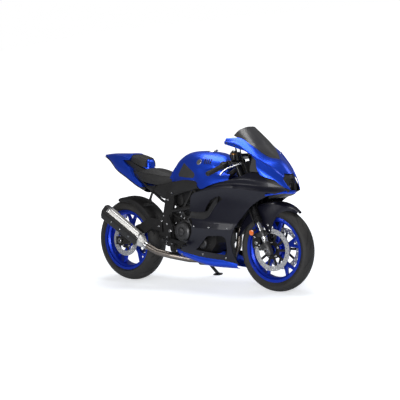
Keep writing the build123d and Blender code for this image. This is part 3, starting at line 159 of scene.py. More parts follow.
def normals(grid):
    """Unit normals of a grid, all to the same side of it."""
    normal = np.cross(np.gradient(grid, axis=0), np.gradient(grid, axis=1))
    return normal / np.maximum(np.linalg.norm(normal, axis=2, keepdims=True), 1e-9)


def nearest(grid, x, z):
    """Index of the grid point nearest to x and z in side view."""
    away = np.linalg.norm(grid[..., ::2] - (x, z), axis=2)
    return np.unravel_index(np.argmin(away), grid.shape[:2])


def sheet(grid, thick, middle):
    """Closed thin shell behind a grid; middle is a point on its inner side."""
    normal = normals(grid)
    if np.sum(normal * (grid - np.asarray(middle, float))) < 0:
        normal = -normal
    rows, cols = grid.shape[:2]
    points = np.concatenate((grid.reshape(-1, 3), (grid - normal * thick).reshape(-1, 3)))
    n = rows * cols
    faces = grid_faces(rows, cols) + grid_faces(rows, cols, n, True)
    rim = [i * cols for i in range(rows)] + [(rows - 1) * cols + j for j in range(1, cols)]
    rim += [i * cols + cols - 1 for i in range(rows - 2, -1, -1)] + list(range(cols - 2, 0, -1))
    for a, b in zip(rim, rim[1:] + rim[:1]):
        faces.append((a, b, b + n, a + n))
    return points, faces


class Parts:
    """Gathers many small solids, in upright millimetres, into one mesh."""

    def __init__(self):
        self.points, self.faces, self.count = [], [], 0

    def add(self, points, faces):
        points = np.asarray(points, float).reshape(-1, 3)
        self.points.append(points)
        self.faces += [tuple(i + self.count for i in f) for f in faces]
        self.count += len(points)
        return self

    def mirrored(self):
        """The same again on the other side of the machine."""
        points, faces = np.concatenate(self.points), list(self.faces)
        return self.add(points * (1, -1, 1), [f[::-1] for f in faces])

    def tube(self, path, radius, sides, steps=0):
        """Round bar along a path; radius is a number or one for each point."""
        path = np.asarray(path, float)
        radii = np.full(len(path), radius, float) if np.isscalar(radius) else np.asarray(radius, float)
        if steps:
            both = smooth_run(np.column_stack((path, radii)), steps)
            path, radii = both[:, :3], both[:, 3]
        tangent = np.gradient(path, axis=0)
        tangent /= np.linalg.norm(tangent, axis=1, keepdims=True)
        side = np.cross(tangent[0], (0, 0, 1) if abs(tangent[0][2]) < 0.9 else (0, 1, 0))
        rings = []
        for p, t, r in zip(path, tangent, radii):
            side = side - t * np.dot(side, t)
            side /= np.linalg.norm(side)
            other = np.cross(t, side)
            for k in range(sides):
                a = 2 * math.pi * k / sides
                rings.append(p + r * (math.cos(a) * side + math.sin(a) * other))
        n = len(path)
        return self.add(rings, grid_faces(n, sides, wrap=True) + ends(n, sides))

    def lathe(self, centre, axis, profile, sides):
        """Turned solid: profile is (radius, distance along the axis), closed at both ends."""
        axis = np.asarray(axis, float) / np.linalg.norm(axis)
        side = np.cross(axis, (1, 0, 0) if abs(axis[0]) < 0.9 else (0, 0, 1))
        side /= np.linalg.norm(side)
        other = np.cross(axis, side)
        rings = []
        for r, d in profile:
            for k in range(sides):
                a = 2 * math.pi * k / sides
                rings.append(np.asarray(centre, float) + axis * d
                             + r * (math.cos(a) * side + math.sin(a) * other))
        n = len(profile)
        faces = grid_faces(n, sides, wrap=True)
        if profile[0] != profile[-1]:
            faces += ends(n, sides)
        else:
            rings = rings[:-sides]
            faces = [tuple(i % ((n - 1) * sides) for i in f) for f in faces]
        return self.add(rings, faces)

    def loft(self, sections, caps=True):
        """Solid through closed sections that each have the same number of points."""
        n, m = len(sections), len(sections[0])
        faces = grid_faces(n, m, wrap=True) + (ends(n, m) if caps else [])
        return self.add([p for section in sections for p in section], faces)

    def prism(self, outline, low, high):
        """Plate of an (x, z) outline between two y values."""
        n = len(outline)
        points = [(x, low, z) for x, z in outline] + [(x, high, z) for x, z in outline]
        faces = [tuple(range(n)), tuple(range(n, 2 * n))[::-1]]
        faces += [(i, (i + 1) % n, n + (i + 1) % n, n + i) for i in range(n)]
        return self.add(points, faces)

    def bolt(self, at, axis, radius, height):
        """Washer and socket head; axis points out of the seat."""
        self.lathe(at, axis,
                   [(radius * 1.5, 0), (radius * 1.5, height * 0.25), (radius * 1.05, height * 0.3)], 20)
        self.lathe(at, axis, [(radius, height * 0.2), (radius, height * 0.85), (radius * 0.85, height),
                              (radius * 0.5, height), (radius * 0.45, height * 0.5)], 12)
        return self

    def bolts(self, points, axis, radius, height):
        """The same bolt at each of several points."""
        for at in points:
            self.bolt(at, axis, radius, height)
        return self

    def bolt_ring(self, centre, ring, y, count, start, side, radius, height):
        """Bolts spaced evenly round an axle, from a start angle, heads to the side given."""
        ring = [around(centre, ring, 360 / count * k + start, y) for k in range(count)]
        return self.bolts(ring, (0, side, 0), radius, height)

    def mesh(self, name):
        return mesh_of(name, np.concatenate(self.points), self.faces)

    def piece(self, name, finish, slot=None, **rest):
        """The gathered solids as one object on a body."""
        return piece(name, self.mesh(name), finish, slot, **rest)


def mesh_of(name, points, faces):
    """Mesh in the row frame from upright points, with its normals outward."""
    me = bpy.data.meshes.new(name)
    me.from_pydata([tuple(p) for p in place(points)], [], [tuple(int(i) for i in f) for f in faces])
    bm = bmesh.new()
    bm.from_mesh(me)
    bmesh.ops.remove_doubles(bm, verts=bm.verts, dist=1e-6)
    bmesh.ops.recalc_face_normals(bm, faces=bm.faces)
    bm.to_mesh(me)
    bm.free()
    me.update()
    return me


def linked(name, data):
    """Object in the scene for a mesh, a light or a camera."""
    obj = bpy.data.objects.new(name, data)
    bpy.context.scene.collection.objects.link(obj)
    return obj


def piece(name, me, finish, slot=None, angle=32.0, replaces=(), body="chassis"):
    """Object of a finished mesh that rides on a body; the slot argument is not used."""
    obj = linked(name, me)
    me.materials.clear()
    me.materials.append(FINISH[finish])
    me.shade_smooth()
    me.set_sharp_from_angle(angle=math.radians(angle))
    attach(obj, body)
    slot or finish
    if replaces:
        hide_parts(*replaces)
    return obj


def softened(obj, width):
    """Small radius, in millimetres, on the sharp edges."""
    bevel = obj.modifiers.new("edge_radius", "BEVEL")
    bevel.width = width / 1000
    bevel.segments = 2
    bevel.limit_method = "ANGLE"
    bevel.angle_limit = math.radians(34.0)
    bevel.harden_normals = False
    return obj


def settled(obj):
    """The object's mesh with its modifiers worked in, and the object gone."""
    dg = bpy.context.evaluated_depsgraph_get()
    me = bpy.data.meshes.new_from_object(obj.evaluated_get(dg))
    bpy.data.objects.remove(obj)
    return me


def carved(me, cutters):
    """A mesh after each (cutter mesh, operation) has worked on it in turn."""
    obj = linked(me.name, me)
    tools = []
    for tool, how in cutters:
        tools.append(linked(tool.name, tool))
        cut = obj.modifiers.new("cut", "BOOLEAN")
        cut.operation, cut.solver, cut.object = how, "EXACT", tools[-1]
    me = settled(obj)
    for cutter in tools:
        bpy.data.objects.remove(cutter)
    return me


def trimmed(name, points, faces, keep, holes, reach):
    """Panel cut to an (x, z) outline, with openings cut through; reach is the cutters' y span."""
    cuts = [(keep, "INTERSECT")] * bool(keep) + [(hole, "DIFFERENCE") for hole in holes]
    return carved(mesh_of(name + "_raw", points, faces),
                  [(Parts().prism(outline, *reach).mesh(f"{name}_cutter_{k}"), how)
                   for k, (outline, how) in enumerate(cuts)])


def twice(me):
    """A mesh in the row frame joined with its mirror image across the machine's middle."""
    bm = bmesh.new()
    bm.from_mesh(me)
    leaned = Matrix.Translation(SHIFT) @ UP.to_4x4()
    copy = bmesh.ops.duplicate(bm, geom=bm.verts[:] + bm.edges[:] + bm.faces[:])["geom"]
    verts = [g for g in copy if isinstance(g, bmesh.types.BMVert)]
    flip = leaned @ Matrix.Diagonal((1, -1, 1, 1)) @ leaned.inverted()
    bmesh.ops.transform(bm, matrix=flip, verts=verts)
    bmesh.ops.reverse_faces(bm, faces=[g for g in copy if isinstance(g, bmesh.types.BMFace)])
    bm.to_mesh(me)
    bm.free()
    return me


# ------------------------------------------------------------------ finishes
SOCKETS = {1: "NodeSocketFloat", 3: "NodeSocketVector", 4: "NodeSocketColor"}      # by their numbers


def group(name, inputs, outputs):
    """Shader node group from {input: default} and {output: how many numbers it carries}."""
    tree = bpy.data.node_groups.new(name, "ShaderNodeTree")
    for label, default in inputs.items():
        kind = SOCKETS[np.size(default)]
        socket = tree.interface.new_socket(name=label, in_out="INPUT", socket_type=kind)
        socket.default_value = default
    for label, size in outputs.items():
        tree.interface.new_socket(name=label, in_out="OUTPUT", socket_type=SOCKETS[size])
    return tree, tree.nodes.new("NodeGroupInput"), tree.nodes.new("NodeGroupOutput")


def node(tree, kind, **values):
    """Shader node with its properties and plain input values set."""
    made = tree.nodes.new(kind)
    for key, value in values.items():
        if hasattr(made, key):
            setattr(made, key, value)
        else:
            made.inputs[key.replace("_", " ")].default_value = value
    return made


def maths(tree, operation, a, b=0.0, clamp=False):
    """Output of a maths node; a and b are numbers or sockets."""
    made = tree.nodes.new("ShaderNodeMath")
    made.operation = operation
    made.use_clamp = clamp
    for socket, value in zip(made.inputs, (a, b)):
        if isinstance(value, (int, float)):
            socket.default_value = value
        else:
            tree.links.new(value, socket)
    return made.outputs[0]


def smooth_step(tree, value, low, high, at_low, at_high):
    """Output that eases from one value to another as a socket's value rises from low to high."""
    made = node(tree, "ShaderNodeMapRange", interpolation_type="SMOOTHSTEP", From_Min=low,
                From_Max=high, To_Min=at_low, To_Max=at_high)
    tree.links.new(value, made.inputs["Value"])
    return made.outputs["Result"]


def bumped(tree, height, distance, strength):
    """Bump laid over the one that already feeds the shader, if there is one."""
    normal = tree.nodes["Principled BSDF"].inputs["Normal"]
    bump = node(tree, "ShaderNodeBump", Distance=distance, Strength=strength)
    tree.links.new(height, bump.inputs["Height"])
    if normal.links:
        tree.links.new(normal.links[0].from_socket, bump.inputs["Normal"])
    tree.links.new(bump.outputs["Normal"], normal)


def mixed(tree, factor, a, b):
    """Output of a colour mix; a and b are colours or sockets."""
    made = node(tree, "ShaderNodeMix", data_type="RGBA")
    for key, value in (("Factor", factor), ("A", a), ("B", b)):
        if isinstance(value, tuple):
            made.inputs[key].default_value = value
        else:
            tree.links.new(value, made.inputs[key])
    return made.outputs["Result"]


def shared(tree, which, values):
    """A shared node group placed in a finish, with input values set."""
    made = node(tree, "ShaderNodeGroup", node_tree=which)
    for key, value in values.items():
        made.inputs[key].default_value = value
    return made


def near_axle(tree, centre, groups):
    """Shared group that measures round an axle, placed in a finish."""
    return shared(tree, groups["axle"], {"Centre": at_axle(centre)})


def surface_group():
    """Worn finish: grain height, uneven roughness and a little dust in the colour."""
    tree, gin, gout = group("worn_surface",
                            {"Base": (0.5, 0.5, 0.5, 1.0), "Dust": (0.30, 0.28, 0.25, 1.0),
                             "Dust Amount": 0.02, "Roughness": 0.4, "Unevenness": 0.06, "Grain Scale": 900.0,
                             "Grain Height": 0.2}, {"Color": 4, "Roughness": 1, "Height": 1})
    link = tree.links.new
    coord = tree.nodes.new("ShaderNodeTexCoord")
    broad = node(tree, "ShaderNodeTexNoise", Scale=7.0, Detail=4.0, Roughness=0.6)
    fine = node(tree, "ShaderNodeTexNoise", Detail=2.0, Roughness=0.5)
    speck = node(tree, "ShaderNodeTexNoise", Scale=160.0, Detail=3.0, Roughness=0.7)
    for n in (broad, fine, speck):
        link(coord.outputs["Object"], n.inputs["Vector"])
    link(gin.outputs["Grain Scale"], fine.inputs["Scale"])
    centred = maths(tree, "SUBTRACT", broad.outputs["Fac"], 0.5)
    uneven = maths(tree, "MULTIPLY", centred, gin.outputs["Unevenness"])
    link(maths(tree, "ADD", uneven, gin.outputs["Roughness"], True), gout.inputs["Roughness"])
    patch = maths(tree, "MULTIPLY", maths(tree, "MULTIPLY", broad.outputs["Fac"], speck.outputs["Fac"]),
                  gin.outputs["Dust Amount"])
    link(mixed(tree, patch, gin.outputs["Base"], gin.outputs["Dust"]), gout.inputs["Color"])
    link(maths(tree, "MULTIPLY", fine.outputs["Fac"], gin.outputs["Grain Height"]), gout.inputs["Height"])
    return tree


def axle_group():
    """Angle, radius and sideways distance round a leaned axle, in radians and millimetres."""
    tree, gin, gout = group("round_axle", {"Centre": (0, 0, 0)}, {"Angle": 1, "Radius": 1, "Across": 1})
    link = tree.links.new
    coord = tree.nodes.new("ShaderNodeTexCoord")
    away = node(tree, "ShaderNodeVectorMath", operation="SUBTRACT")
    link(coord.outputs["Object"], away.inputs[0])
    link(gin.outputs["Centre"], away.inputs[1])
    turn = node(tree, "ShaderNodeVectorRotate", rotation_type="X_AXIS")
    turn.inputs["Angle"].default_value = LEAN
    link(away.outputs[0], turn.inputs["Vector"])
    split = tree.nodes.new("ShaderNodeSeparateXYZ")
    link(turn.outputs[0], split.inputs[0])
    x, y, z = split.outputs
    link(maths(tree, "ARCTAN2", z, x), gout.inputs["Angle"])
    square = maths(tree, "ADD", maths(tree, "MULTIPLY", x, x), maths(tree, "MULTIPLY", z, z))
    link(maths(tree, "MULTIPLY", maths(tree, "SQRT", square), 1000.0), gout.inputs["Radius"])
    link(maths(tree, "MULTIPLY", y, 1000.0), gout.inputs["Across"])
    return tree


def tread_group():
    """Slanted sipes in a tyre's crown, with plain shoulders and ribbed side walls."""
    tree, gin, gout = group("siped_tread", {
        "Angle": 0.0, "Radius": 300.0, "Across": 0.0, "Tread Radius": 265.0, "Repeats": 26.0,
        "Half Width": 60.0}, {"Groove": 1, "Wall": 1})
    link = tree.links.new
    side = maths(tree, "ABSOLUTE", gin.outputs["Across"])
    share = maths(tree, "DIVIDE", side, gin.outputs["Half Width"])
    bend = maths(tree, "MULTIPLY", maths(tree, "POWER", share, 1.6), 1.9)
    sign = maths(tree, "SIGN", gin.outputs["Across"])
    turns = maths(tree, "MULTIPLY", gin.outputs["Angle"],
                  maths(tree, "DIVIDE", gin.outputs["Repeats"], 2 * math.pi))
    shifted = maths(tree, "ADD", maths(tree, "ADD", turns, bend), maths(tree, "MULTIPLY", sign, 0.25))
    saw = maths(tree, "FRACT", shifted)
    gap = maths(tree, "ABSOLUTE", maths(tree, "SUBTRACT", saw, 0.5))
    thin = smooth_step(tree, gap, 0.035, 0.062, 1.0, 0.0)
    span = smooth_step(tree, share, 0.10, 0.16, 0.0, 1.0)
    stop = smooth_step(tree, share, 0.72, 0.80, 1.0, 0.0)
    every = maths(tree, "GREATER_THAN", maths(tree, "FRACT", maths(tree, "MULTIPLY", shifted, 0.5)), 0.5)
    reach = maths(tree, "MAXIMUM", every, maths(tree, "LESS_THAN", share, 0.5))
    crown = maths(tree, "GREATER_THAN", gin.outputs["Radius"], gin.outputs["Tread Radius"])
    cut = maths(tree, "MULTIPLY", maths(tree, "MULTIPLY", thin, span),
                maths(tree, "MULTIPLY", maths(tree, "MULTIPLY", stop, reach), crown))
    link(cut, gout.inputs["Groove"])
    ribs = maths(tree, "MULTIPLY", maths(tree, "SINE", maths(tree, "MULTIPLY", gin.outputs["Radius"], 1.1)),
                 0.5)
    link(maths(tree, "MULTIPLY", ribs, maths(tree, "SUBTRACT", 1.0, crown)), gout.inputs["Wall"])
    return tree


FINISHES = {
    # name: base colour, metallic, roughness, coat, grain scale, grain height, unevenness, dust
    "blue_paint": ((0.010, 0.070, 0.700), 0.80, 0.34, 0.15, 2600, 0.02, 0.05, 0.02),
    "navy_paint": ((0.0040, 0.0042, 0.0115), 0.10, 0.34, 0.15, 2200, 0.04, 0.08, 0.03),
    "blue_wheel": ((0.006, 0.040, 0.520), 0.75, 0.36, 0.10, 1800, 0.06, 0.08, 0.05),
    "cast_black": ((0.008, 0.008, 0.009), 0.35, 0.46, 0.0, 700, 0.30, 0.15, 0.12),
    "black_tube": ((0.012, 0.012, 0.013), 0.20, 0.42, 0.2, 1400, 0.08, 0.12, 0.08),
    "black_metal": ((0.013, 0.013, 0.014), 0.45, 0.38, 0.2, 1500, 0.06, 0.12, 0.06),
    "fork_black": ((0.010, 0.010, 0.011), 0.60, 0.20, 0.5, 3000, 0.01, 0.06, 0.02),
    "dark_metal": ((0.060, 0.060, 0.063), 0.75, 0.38, 0.0, 900, 0.18, 0.15, 0.10),
    "bright_steel": ((0.58, 0.58, 0.59), 1.00, 0.24, 0.0, 2600, 0.04, 0.12, 0.04),
    "spring_steel": ((0.025, 0.025, 0.028), 0.30, 0.34, 0.4, 2000, 0.03, 0.08, 0.05),
    "disc_steel": ((0.52, 0.52, 0.53), 0.80, 0.42, 0.0, 2400, 0.10, 0.14, 0.04),
    "chain_steel": ((0.21, 0.20, 0.18), 0.90, 0.38, 0.0, 1200, 0.12, 0.22, 0.25),
    "pipe_steel": ((0.20, 0.175, 0.155), 1.00, 0.34, 0.0, 1600, 0.06, 0.20, 0.10),
    "titanium_can": ((0.68, 0.67, 0.65), 0.85, 0.36, 0.0, 2200, 0.08, 0.12, 0.04),
    "lever_aluminium": ((0.74, 0.74, 0.75), 1.00, 0.20, 0.0, 2600, 0.03, 0.08, 0.03),
    "black_plastic": ((0.009, 0.009, 0.010), 0.00, 0.46, 0.0, 1100, 0.22, 0.10, 0.08),
    "seat_cover": ((0.012, 0.012, 0.013), 0.00, 0.62, 0.0, 620, 0.55, 0.10, 0.10),
    "grip_rubber": ((0.014, 0.014, 0.014), 0.00, 0.70, 0.0, 900, 0.25, 0.10, 0.10),
    "hose_rubber": ((0.014, 0.014, 0.014), 0.00, 0.50, 0.0, 1200, 0.10, 0.10, 0.06),
    "amber_lens": ((0.80, 0.16, 0.02), 0.00, 0.20, 0.8, 2000, 0.02, 0.05, 0.02),
    "dark_lens": ((0.010, 0.011, 0.014), 0.10, 0.08, 1.0, 2000, 0.01, 0.04, 0.01),
    "brown_cap": ((0.28, 0.13, 0.03), 0.60, 0.34, 0.2, 1800, 0.05, 0.08, 0.05),
    "grey_panel": ((0.022, 0.022, 0.024), 0.00, 0.55, 0.0, 1100, 0.20, 0.08, 0.06),
    "fin_metal": ((0.050, 0.050, 0.052), 0.50, 0.50, 0.0, 1400, 0.20, 0.15, 0.15),
}
FINISH = {}                               # name: material, filled by make_finishes
MATTE_BELOW = 0.02                        # base colours darker than this shine less


def make_finish(name, values, groups):
    """Material of one finish, its grain, unevenness and dust from the shared group."""
    color, metallic, rough, coat, scale, height, uneven, dust = values
    mat = bpy.data.materials.new(name)
    mat.use_nodes = True
    tree = mat.node_tree
    shader = tree.nodes["Principled BSDF"]
    worn = shared(tree, groups["worn"], {"Base": (*color, 1.0), "Dust Amount": dust, "Roughness": rough,
                                         "Unevenness": uneven, "Grain Scale": scale, "Grain Height": height})
    link = tree.links.new
    link(worn.outputs["Color"], shader.inputs["Base Color"])
    link(worn.outputs["Roughness"], shader.inputs["Roughness"])
    shader.inputs["Metallic"].default_value = metallic
    shader.inputs["Coat Weight"].default_value = coat
    shader.inputs["Coat Roughness"].default_value = 0.04
    bumped(tree, worn.outputs["Height"], 0.0004, 0.5)
    shader.inputs["Specular IOR Level"].default_value = 0.3 if max(color) < MATTE_BELOW else 0.5
    mat.diffuse_color = (*color, 1.0)
    return mat


RING_PITCH = 2.2                          # turning marks on a disc, in millimetres


def ringed(mat, centre, groups):
    """Adds turned rings round an axle to a finish."""
    tree = mat.node_tree
    radius = near_axle(tree, centre, groups).outputs["Radius"]
    wave = maths(tree, "SINE", maths(tree, "MULTIPLY", radius, 2 * math.pi / RING_PITCH))
    bumped(tree, maths(tree, "MULTIPLY", wave, 0.25), 0.0003, 0.35)
    return mat


def tyre_finish(name, centre, crown, half, repeats, groups):
    """Rubber with sunk sipes, their colour darkened to near black as painted shade in the grooves."""
    mat = make_finish(name, ((0.011, 0.011, 0.012), 0.0, 0.62, 0.0, 1000, 0.35, 0.12, 0.22), groups)
    tree = mat.node_tree
    spot = near_axle(tree, centre, groups)
    tread = shared(tree, groups["tread"], {"Tread Radius": crown, "Half Width": half, "Repeats": repeats})
    for key in ("Angle", "Radius", "Across"):
        tree.links.new(spot.outputs[key], tread.inputs[key])
    worn = next(n for n in tree.nodes if n.type == "GROUP" and n.node_tree == groups["worn"])
    # painted shade: the rubber in the sipes is coloured near black for the shade inside the grooves
    painted_sipe_shade = mixed(tree, tread.outputs["Groove"], worn.outputs["Color"], (0.003, 0.003, 0.003, 1.0))
    tree.links.new(painted_sipe_shade, tree.nodes["Principled BSDF"].inputs["Base Color"])
    height = maths(tree, "SUBTRACT", maths(tree, "MULTIPLY", tread.outputs["Wall"], 0.3),
                   tread.outputs["Groove"])
    bumped(tree, height, 0.0025, 0.8)
    return mat


def screen_finish(groups):
    """Smoked sheet that lets a little through."""
    mat = make_finish("smoked_screen", ((0.034, 0.034, 0.037), 0.0, 0.30, 0.10, 2000, 0.01, 0.03, 0.01),
                      groups)
    mat.node_tree.nodes["Principled BSDF"].inputs["Alpha"].default_value = 0.93
    return mat


def make_finishes():
    """All finishes and their shared node groups."""
    groups = {"worn": surface_group(), "axle": axle_group(), "tread": tread_group()}
    for name, values in FINISHES.items():
        FINISH[name] = make_finish(name, values, groups)
    for end, axle, crown, half, repeats in (("front", FRONT_AXLE, 262.0, 60.0, 22.0),
                                            ("rear", REAR_AXLE, 246.0, 90.0, 20.0)):
        steel = make_finish(end + "_disc_steel", FINISHES["disc_steel"], groups)
        FINISH[end + "_disc"] = ringed(steel, axle, groups)
        FINISH[end + "_rubber"] = tyre_finish(end + "_tyre_rubber", axle, crown, half, repeats, groups)
    FINISH["smoked_screen"] = screen_finish(groups)


NODES_OF_FINISH = {
    # finish: the CAD nodes that have it
    "cast_black": "frame engine swingarm",
    "black_tube": "subframe",
    "dark_metal": "engine_covers fork_legs",
    "fin_metal": "radiator",
    "pipe_steel": "exhaust_headers",
    "titanium_can": "muffler",
    "black_plastic": "muffler_cap side_covers nose_panel instrument_stay rear_hugger",
    "spring_steel": "rear_shock",
    "bright_steel": "rear_axle front_axle fuel_lid",
    "black_metal": "rear_caliper footrest_hangers yokes handlebars front_calipers side_stand",
    "chain_steel": "chain rear_sprocket",
    "dark_lens": "lamps",
    "fork_black": "fork_outers",
    "grip_rubber": "grips",
    "lever_aluminium": "hand_controls",
    "hose_rubber": "brake_hoses",
    "blue_wheel": "front_rim rear_rim",
    "front_rubber": "front_tyre",
    "front_disc": "front_discs",
    "rear_rubber": "rear_tyre",
    "rear_disc": "rear_disc",
    "navy_paint": "front_fender side_fairings",
    "blue_paint": "fuel_tank tail_cowl nose_cowl belly_pan",
    "seat_cover": "rider_seat pillion_seat",
    "smoked_screen": "windscreen",
}
NODES_OF_RADIUS = {
    # edge radius in millimetres: the CAD nodes that have it
    1.5: "frame yokes nose_panel",
    4.0: "engine",
    2.0: "engine_covers muffler_cap instrument_stay",
    3.0: "swingarm front_calipers muffler",
    1.6: "front_rim rear_rim",
    2.5: "rear_caliper",
    1.2: "footrest_hangers",
    1.0: "hand_controls side_covers fork_legs",
    0.8: "radiator",
}


# ------------------------------------------------------------------ bodywork tables
# Tables are {x: [(y, z), ...]} of the right side and outlines are [(x, z), ...], in upright millimetres.
COWL = {
    # right half of the nose: lower edge, cheek, crease, groove, brow, brow, upper edge
    1074: [(-178, 1034), (-183, 1052), (-180, 1066), (-172, 1070), (-168, 1076), (-164, 1083), (-156, 1090)],
    1180: [(-194, 1000), (-201, 1026), (-194, 1048), (-182, 1052), (-172, 1060), (-154, 1076), (-137, 1088)],
    1290: [(-194, 914), (-204, 952), (-192, 988), (-175, 986), (-162, 998), (-140, 1014), (-119, 1024)],
    1380: [(-186, 822), (-188, 874), (-160, 922), (-140, 921), (-118, 934), (-82, 948), (-50, 950)],
    1440: [(-160, 784), (-156, 830), (-124, 880), (-104, 882), (-78, 902), (-40, 920), (0, 927)],
    1500: [(-118, 748), (-112, 784), (-88, 822), (-70, 823), (-54, 838), (-28, 855), (0, 860)],
    1540: [(-76, 726), (-68, 758), (-52, 786), (-44, 788), (-34, 794), (-17, 803), (0, 806)],
    1562: [(-48, 718), (-42, 738), (-33, 756), (-28, 758), (-20, 763), (-10, 768), (0, 770)],
}
COWL_OUTLINE = [(1060, 1110), (1078, 1046), (1177, 1024), (1265, 999), (1309, 974), (1351, 932), (1368, 872),
                (1384, 832), (1430, 812), (1474, 794), (1500, 766), (1522, 744), (1548, 727), (1600, 716),
                (1600, 1000), (1300, 1120)]
MOUTH = [(1498, 838), (1514, 793), (1550, 730), (1572, 700), (1640, 700), (1640, 829), (1542, 829)]
SCREEN = {
    # edge, quarter, half, three quarters, middle
    1128: [(-140, 1108), (-116, 1146), (-82, 1182), (-42, 1208), (0, 1222)],
    1170: [(-139, 1088), (-115, 1121), (-83, 1150), (-44, 1171), (0, 1181)],
    1220: [(-134, 1066), (-110, 1092), (-78, 1113), (-41, 1129), (0, 1136)],
    1290: [(-119, 1026), (-95, 1041), (-65, 1053), (-33, 1061), (0, 1064)],
    1346: [(-88, 978), (-68, 988), (-46, 996), (-24, 1001), (0, 1003)],
    1396: [(-48, 939), (-36, 944), (-24, 949), (-12, 952), (0, 953)],
    1436: [(-26, 914), (-20, 917), (-13, 919), (-6, 920), (0, 921)],
}
FAIRING = {
    # foot, lower, below the arm, arm, hollow, flank, below the ridge, ridge, valley, roll, upper edge
    560: [(-84, 150), (-132, 250), (-150, 380), (-160, 440), (-154, 490), (-156, 580), (-164, 676),
          (-168, 702), (-160, 728), (-158, 770), (-146, 800)],
    760: [(-92, 150), (-146, 250), (-170, 380), (-190, 446), (-176, 492), (-182, 590), (-198, 668),
          (-207, 698), (-195, 720), (-190, 760), (-176, 800)],
    950: [(-86, 150), (-142, 250), (-172, 380), (-196, 440), (-182, 490), (-188, 590), (-203, 690),
          (-215, 722), (-197, 742), (-193, 772), (-172, 812)],
    1090: [(-60, 150), (-108, 250), (-160, 380), (-188, 440), (-178, 490), (-188, 590), (-204, 704),
           (-218, 738), (-196, 760), (-195, 792), (-168, 828)],
    1250: [(-50, 150), (-90, 250), (-148, 380), (-170, 440), (-166, 490), (-178, 590), (-198, 696),
           (-213, 730), (-190, 758), (-190, 802), (-168, 848)],
    1400: [(-40, 150), (-70, 250), (-110, 380), (-122, 440), (-124, 490), (-138, 590), (-160, 686),
           (-177, 714), (-158, 742), (-156, 782), (-138, 832)],
    1560: [(-20, 150), (-30, 250), (-44, 380), (-48, 440), (-50, 490), (-58, 590), (-70, 690), (-78, 712),
           (-74, 736), (-70, 770), (-58, 810)],
}
FAIRING_OUTLINE = [(852, 710), (800, 694), (771, 676), (752, 630), (740, 573), (748, 520), (766, 465),
                   (752, 410), (725, 369), (670, 312), (604, 268), (690, 248), (788, 230), (900, 220),
                   (993, 211), (1104, 172), (1090, 226), (1082, 278), (1085, 340), (1104, 385), (1130, 420),
                   (1182, 499), (1219, 535), (1262, 580), (1309, 622), (1360, 654), (1414, 679), (1480, 700),
                   (1528, 716), (1534, 734), (1519, 742), (1487, 753), (1437, 773), (1400, 806), (1376, 829),
                   (1345, 846), (1318, 852), (1288, 850), (1217, 822), (1128, 800), (1058, 780), (990, 760),
                   (930, 738),]
WINDOW = [(772, 284), (800, 300), (850, 346), (886, 380), (906, 388), (1010, 392), (1038, 386), (1052, 368),
          (1046, 300), (1034, 256), (1018, 252), (900, 266), (790, 278)]
VENT = [(730, 523), (800, 514), (878, 510), (925, 526), (960, 574), (1004, 622), (1060, 659), (1034, 680),
        (1000, 672), (950, 650), (905, 600), (884, 563), (820, 560), (730, 562)]
VENT_LEDGE = [
    # outer edge, middle, inner edge of the shelf in the vent, from behind forward
    [(734, -184, 519), (734, -166, 542), (730, -154, 562)],
    [(810, -190, 514), (810, -168, 542), (810, -156, 562)],
    [(880, -194, 511), (884, -172, 545), (888, -160, 566)],
    [(922, -194, 528), (922, -174, 562), (920, -164, 600)],
    [(965, -194, 580), (960, -176, 610), (955, -166, 640)],
    [(1010, -198, 630), (1004, -180, 655), (998, -168, 676)],
]
INNER_DUCT = [
    # the same of the panel beside the radiator, upward
    [(1088, -70, 176), (1076, -54, 176), (1060, -40, 176)],
    [(1078, -102, 250), (1070, -80, 250), (1060, -54, 250)],
    [(1078, -132, 330), (1070, -100, 330), (1060, -62, 330)],
    [(1096, -154, 400), (1082, -116, 400), (1062, -68, 400)],
    [(1130, -160, 455), (1104, -138, 455), (1084, -134, 455)],
]
FAIRING_STUDS = [(784, 456), (937, 448), (1098, 448), (829, 256), (1012, 222)]
SIDE_LAMP = [(1352, 858), (1384, 834), (1430, 814), (1474, 796), (1500, 768), (1524, 745), (1530, 734),
             (1510, 742), (1487, 753), (1437, 773), (1400, 806), (1376, 829)]
TANK = {
    # top, crown, crease, flank, widest, foot
    462: [(0, 838), (-30, 836), (-52, 828), (-66, 816), (-76, 800), (-74, 772)],
    508: [(0, 896), (-34, 893), (-60, 882), (-78, 864), (-88, 838), (-84, 774)],
    560: [(0, 948), (-40, 944), (-70, 930), (-88, 902), (-96, 868), (-106, 776)],
    640: [(0, 987), (-50, 982), (-86, 966), (-106, 934), (-114, 896), (-132, 780)],
    745: [(0, 999), (-56, 994), (-96, 976), (-126, 946), (-144, 908), (-150, 784)],
    845: [(0, 992), (-54, 988), (-94, 970), (-134, 938), (-158, 902), (-150, 790)],
    935: [(0, 976), (-46, 972), (-80, 956), (-120, 926), (-147, 894), (-146, 800)],
    990: [(0, 953), (-38, 949), (-66, 936), (-96, 910), (-111, 884), (-118, 820)],
    1022: [(0, 906), (-24, 904), (-40, 900), (-60, 890), (-74, 878), (-80, 850)],
}
WING = {
    # right wing of the tank: lower edge, middle, upper edge, roll-in
    700: [(-134, 792), (-134, 830), (-134, 868), (-128, 900)],
    770: [(-152, 770), (-152, 812), (-152, 852), (-148, 890)],
    840: [(-178, 727), (-173, 780), (-164, 836), (-153, 880)],
    930: [(-190, 752), (-183, 796), (-169, 840), (-149, 880)],
    1020: [(-192, 776), (-186, 802), (-173, 826), (-146, 850)],
    1112: [(-190, 792), (-186, 808), (-180, 822), (-168, 832)],
}
WING_OUTLINE = [(832, 714), (900, 738), (990, 764), (1118, 797), (1120, 832), (1060, 846), (1000, 864),
                (900, 890), (800, 900), (715, 890), (708, 840), (740, 800), (775, 768)]
KNEE_PAD = [(637, 913), (600, 868), (576, 828), (583, 813), (670, 806), (753, 803), (777, 831), (735, 860),
            (688, 884)]
TANK_SLITS = [(861, 4), (877, 2), (893, 0), (909, -2)]      # x, and how far it is raised
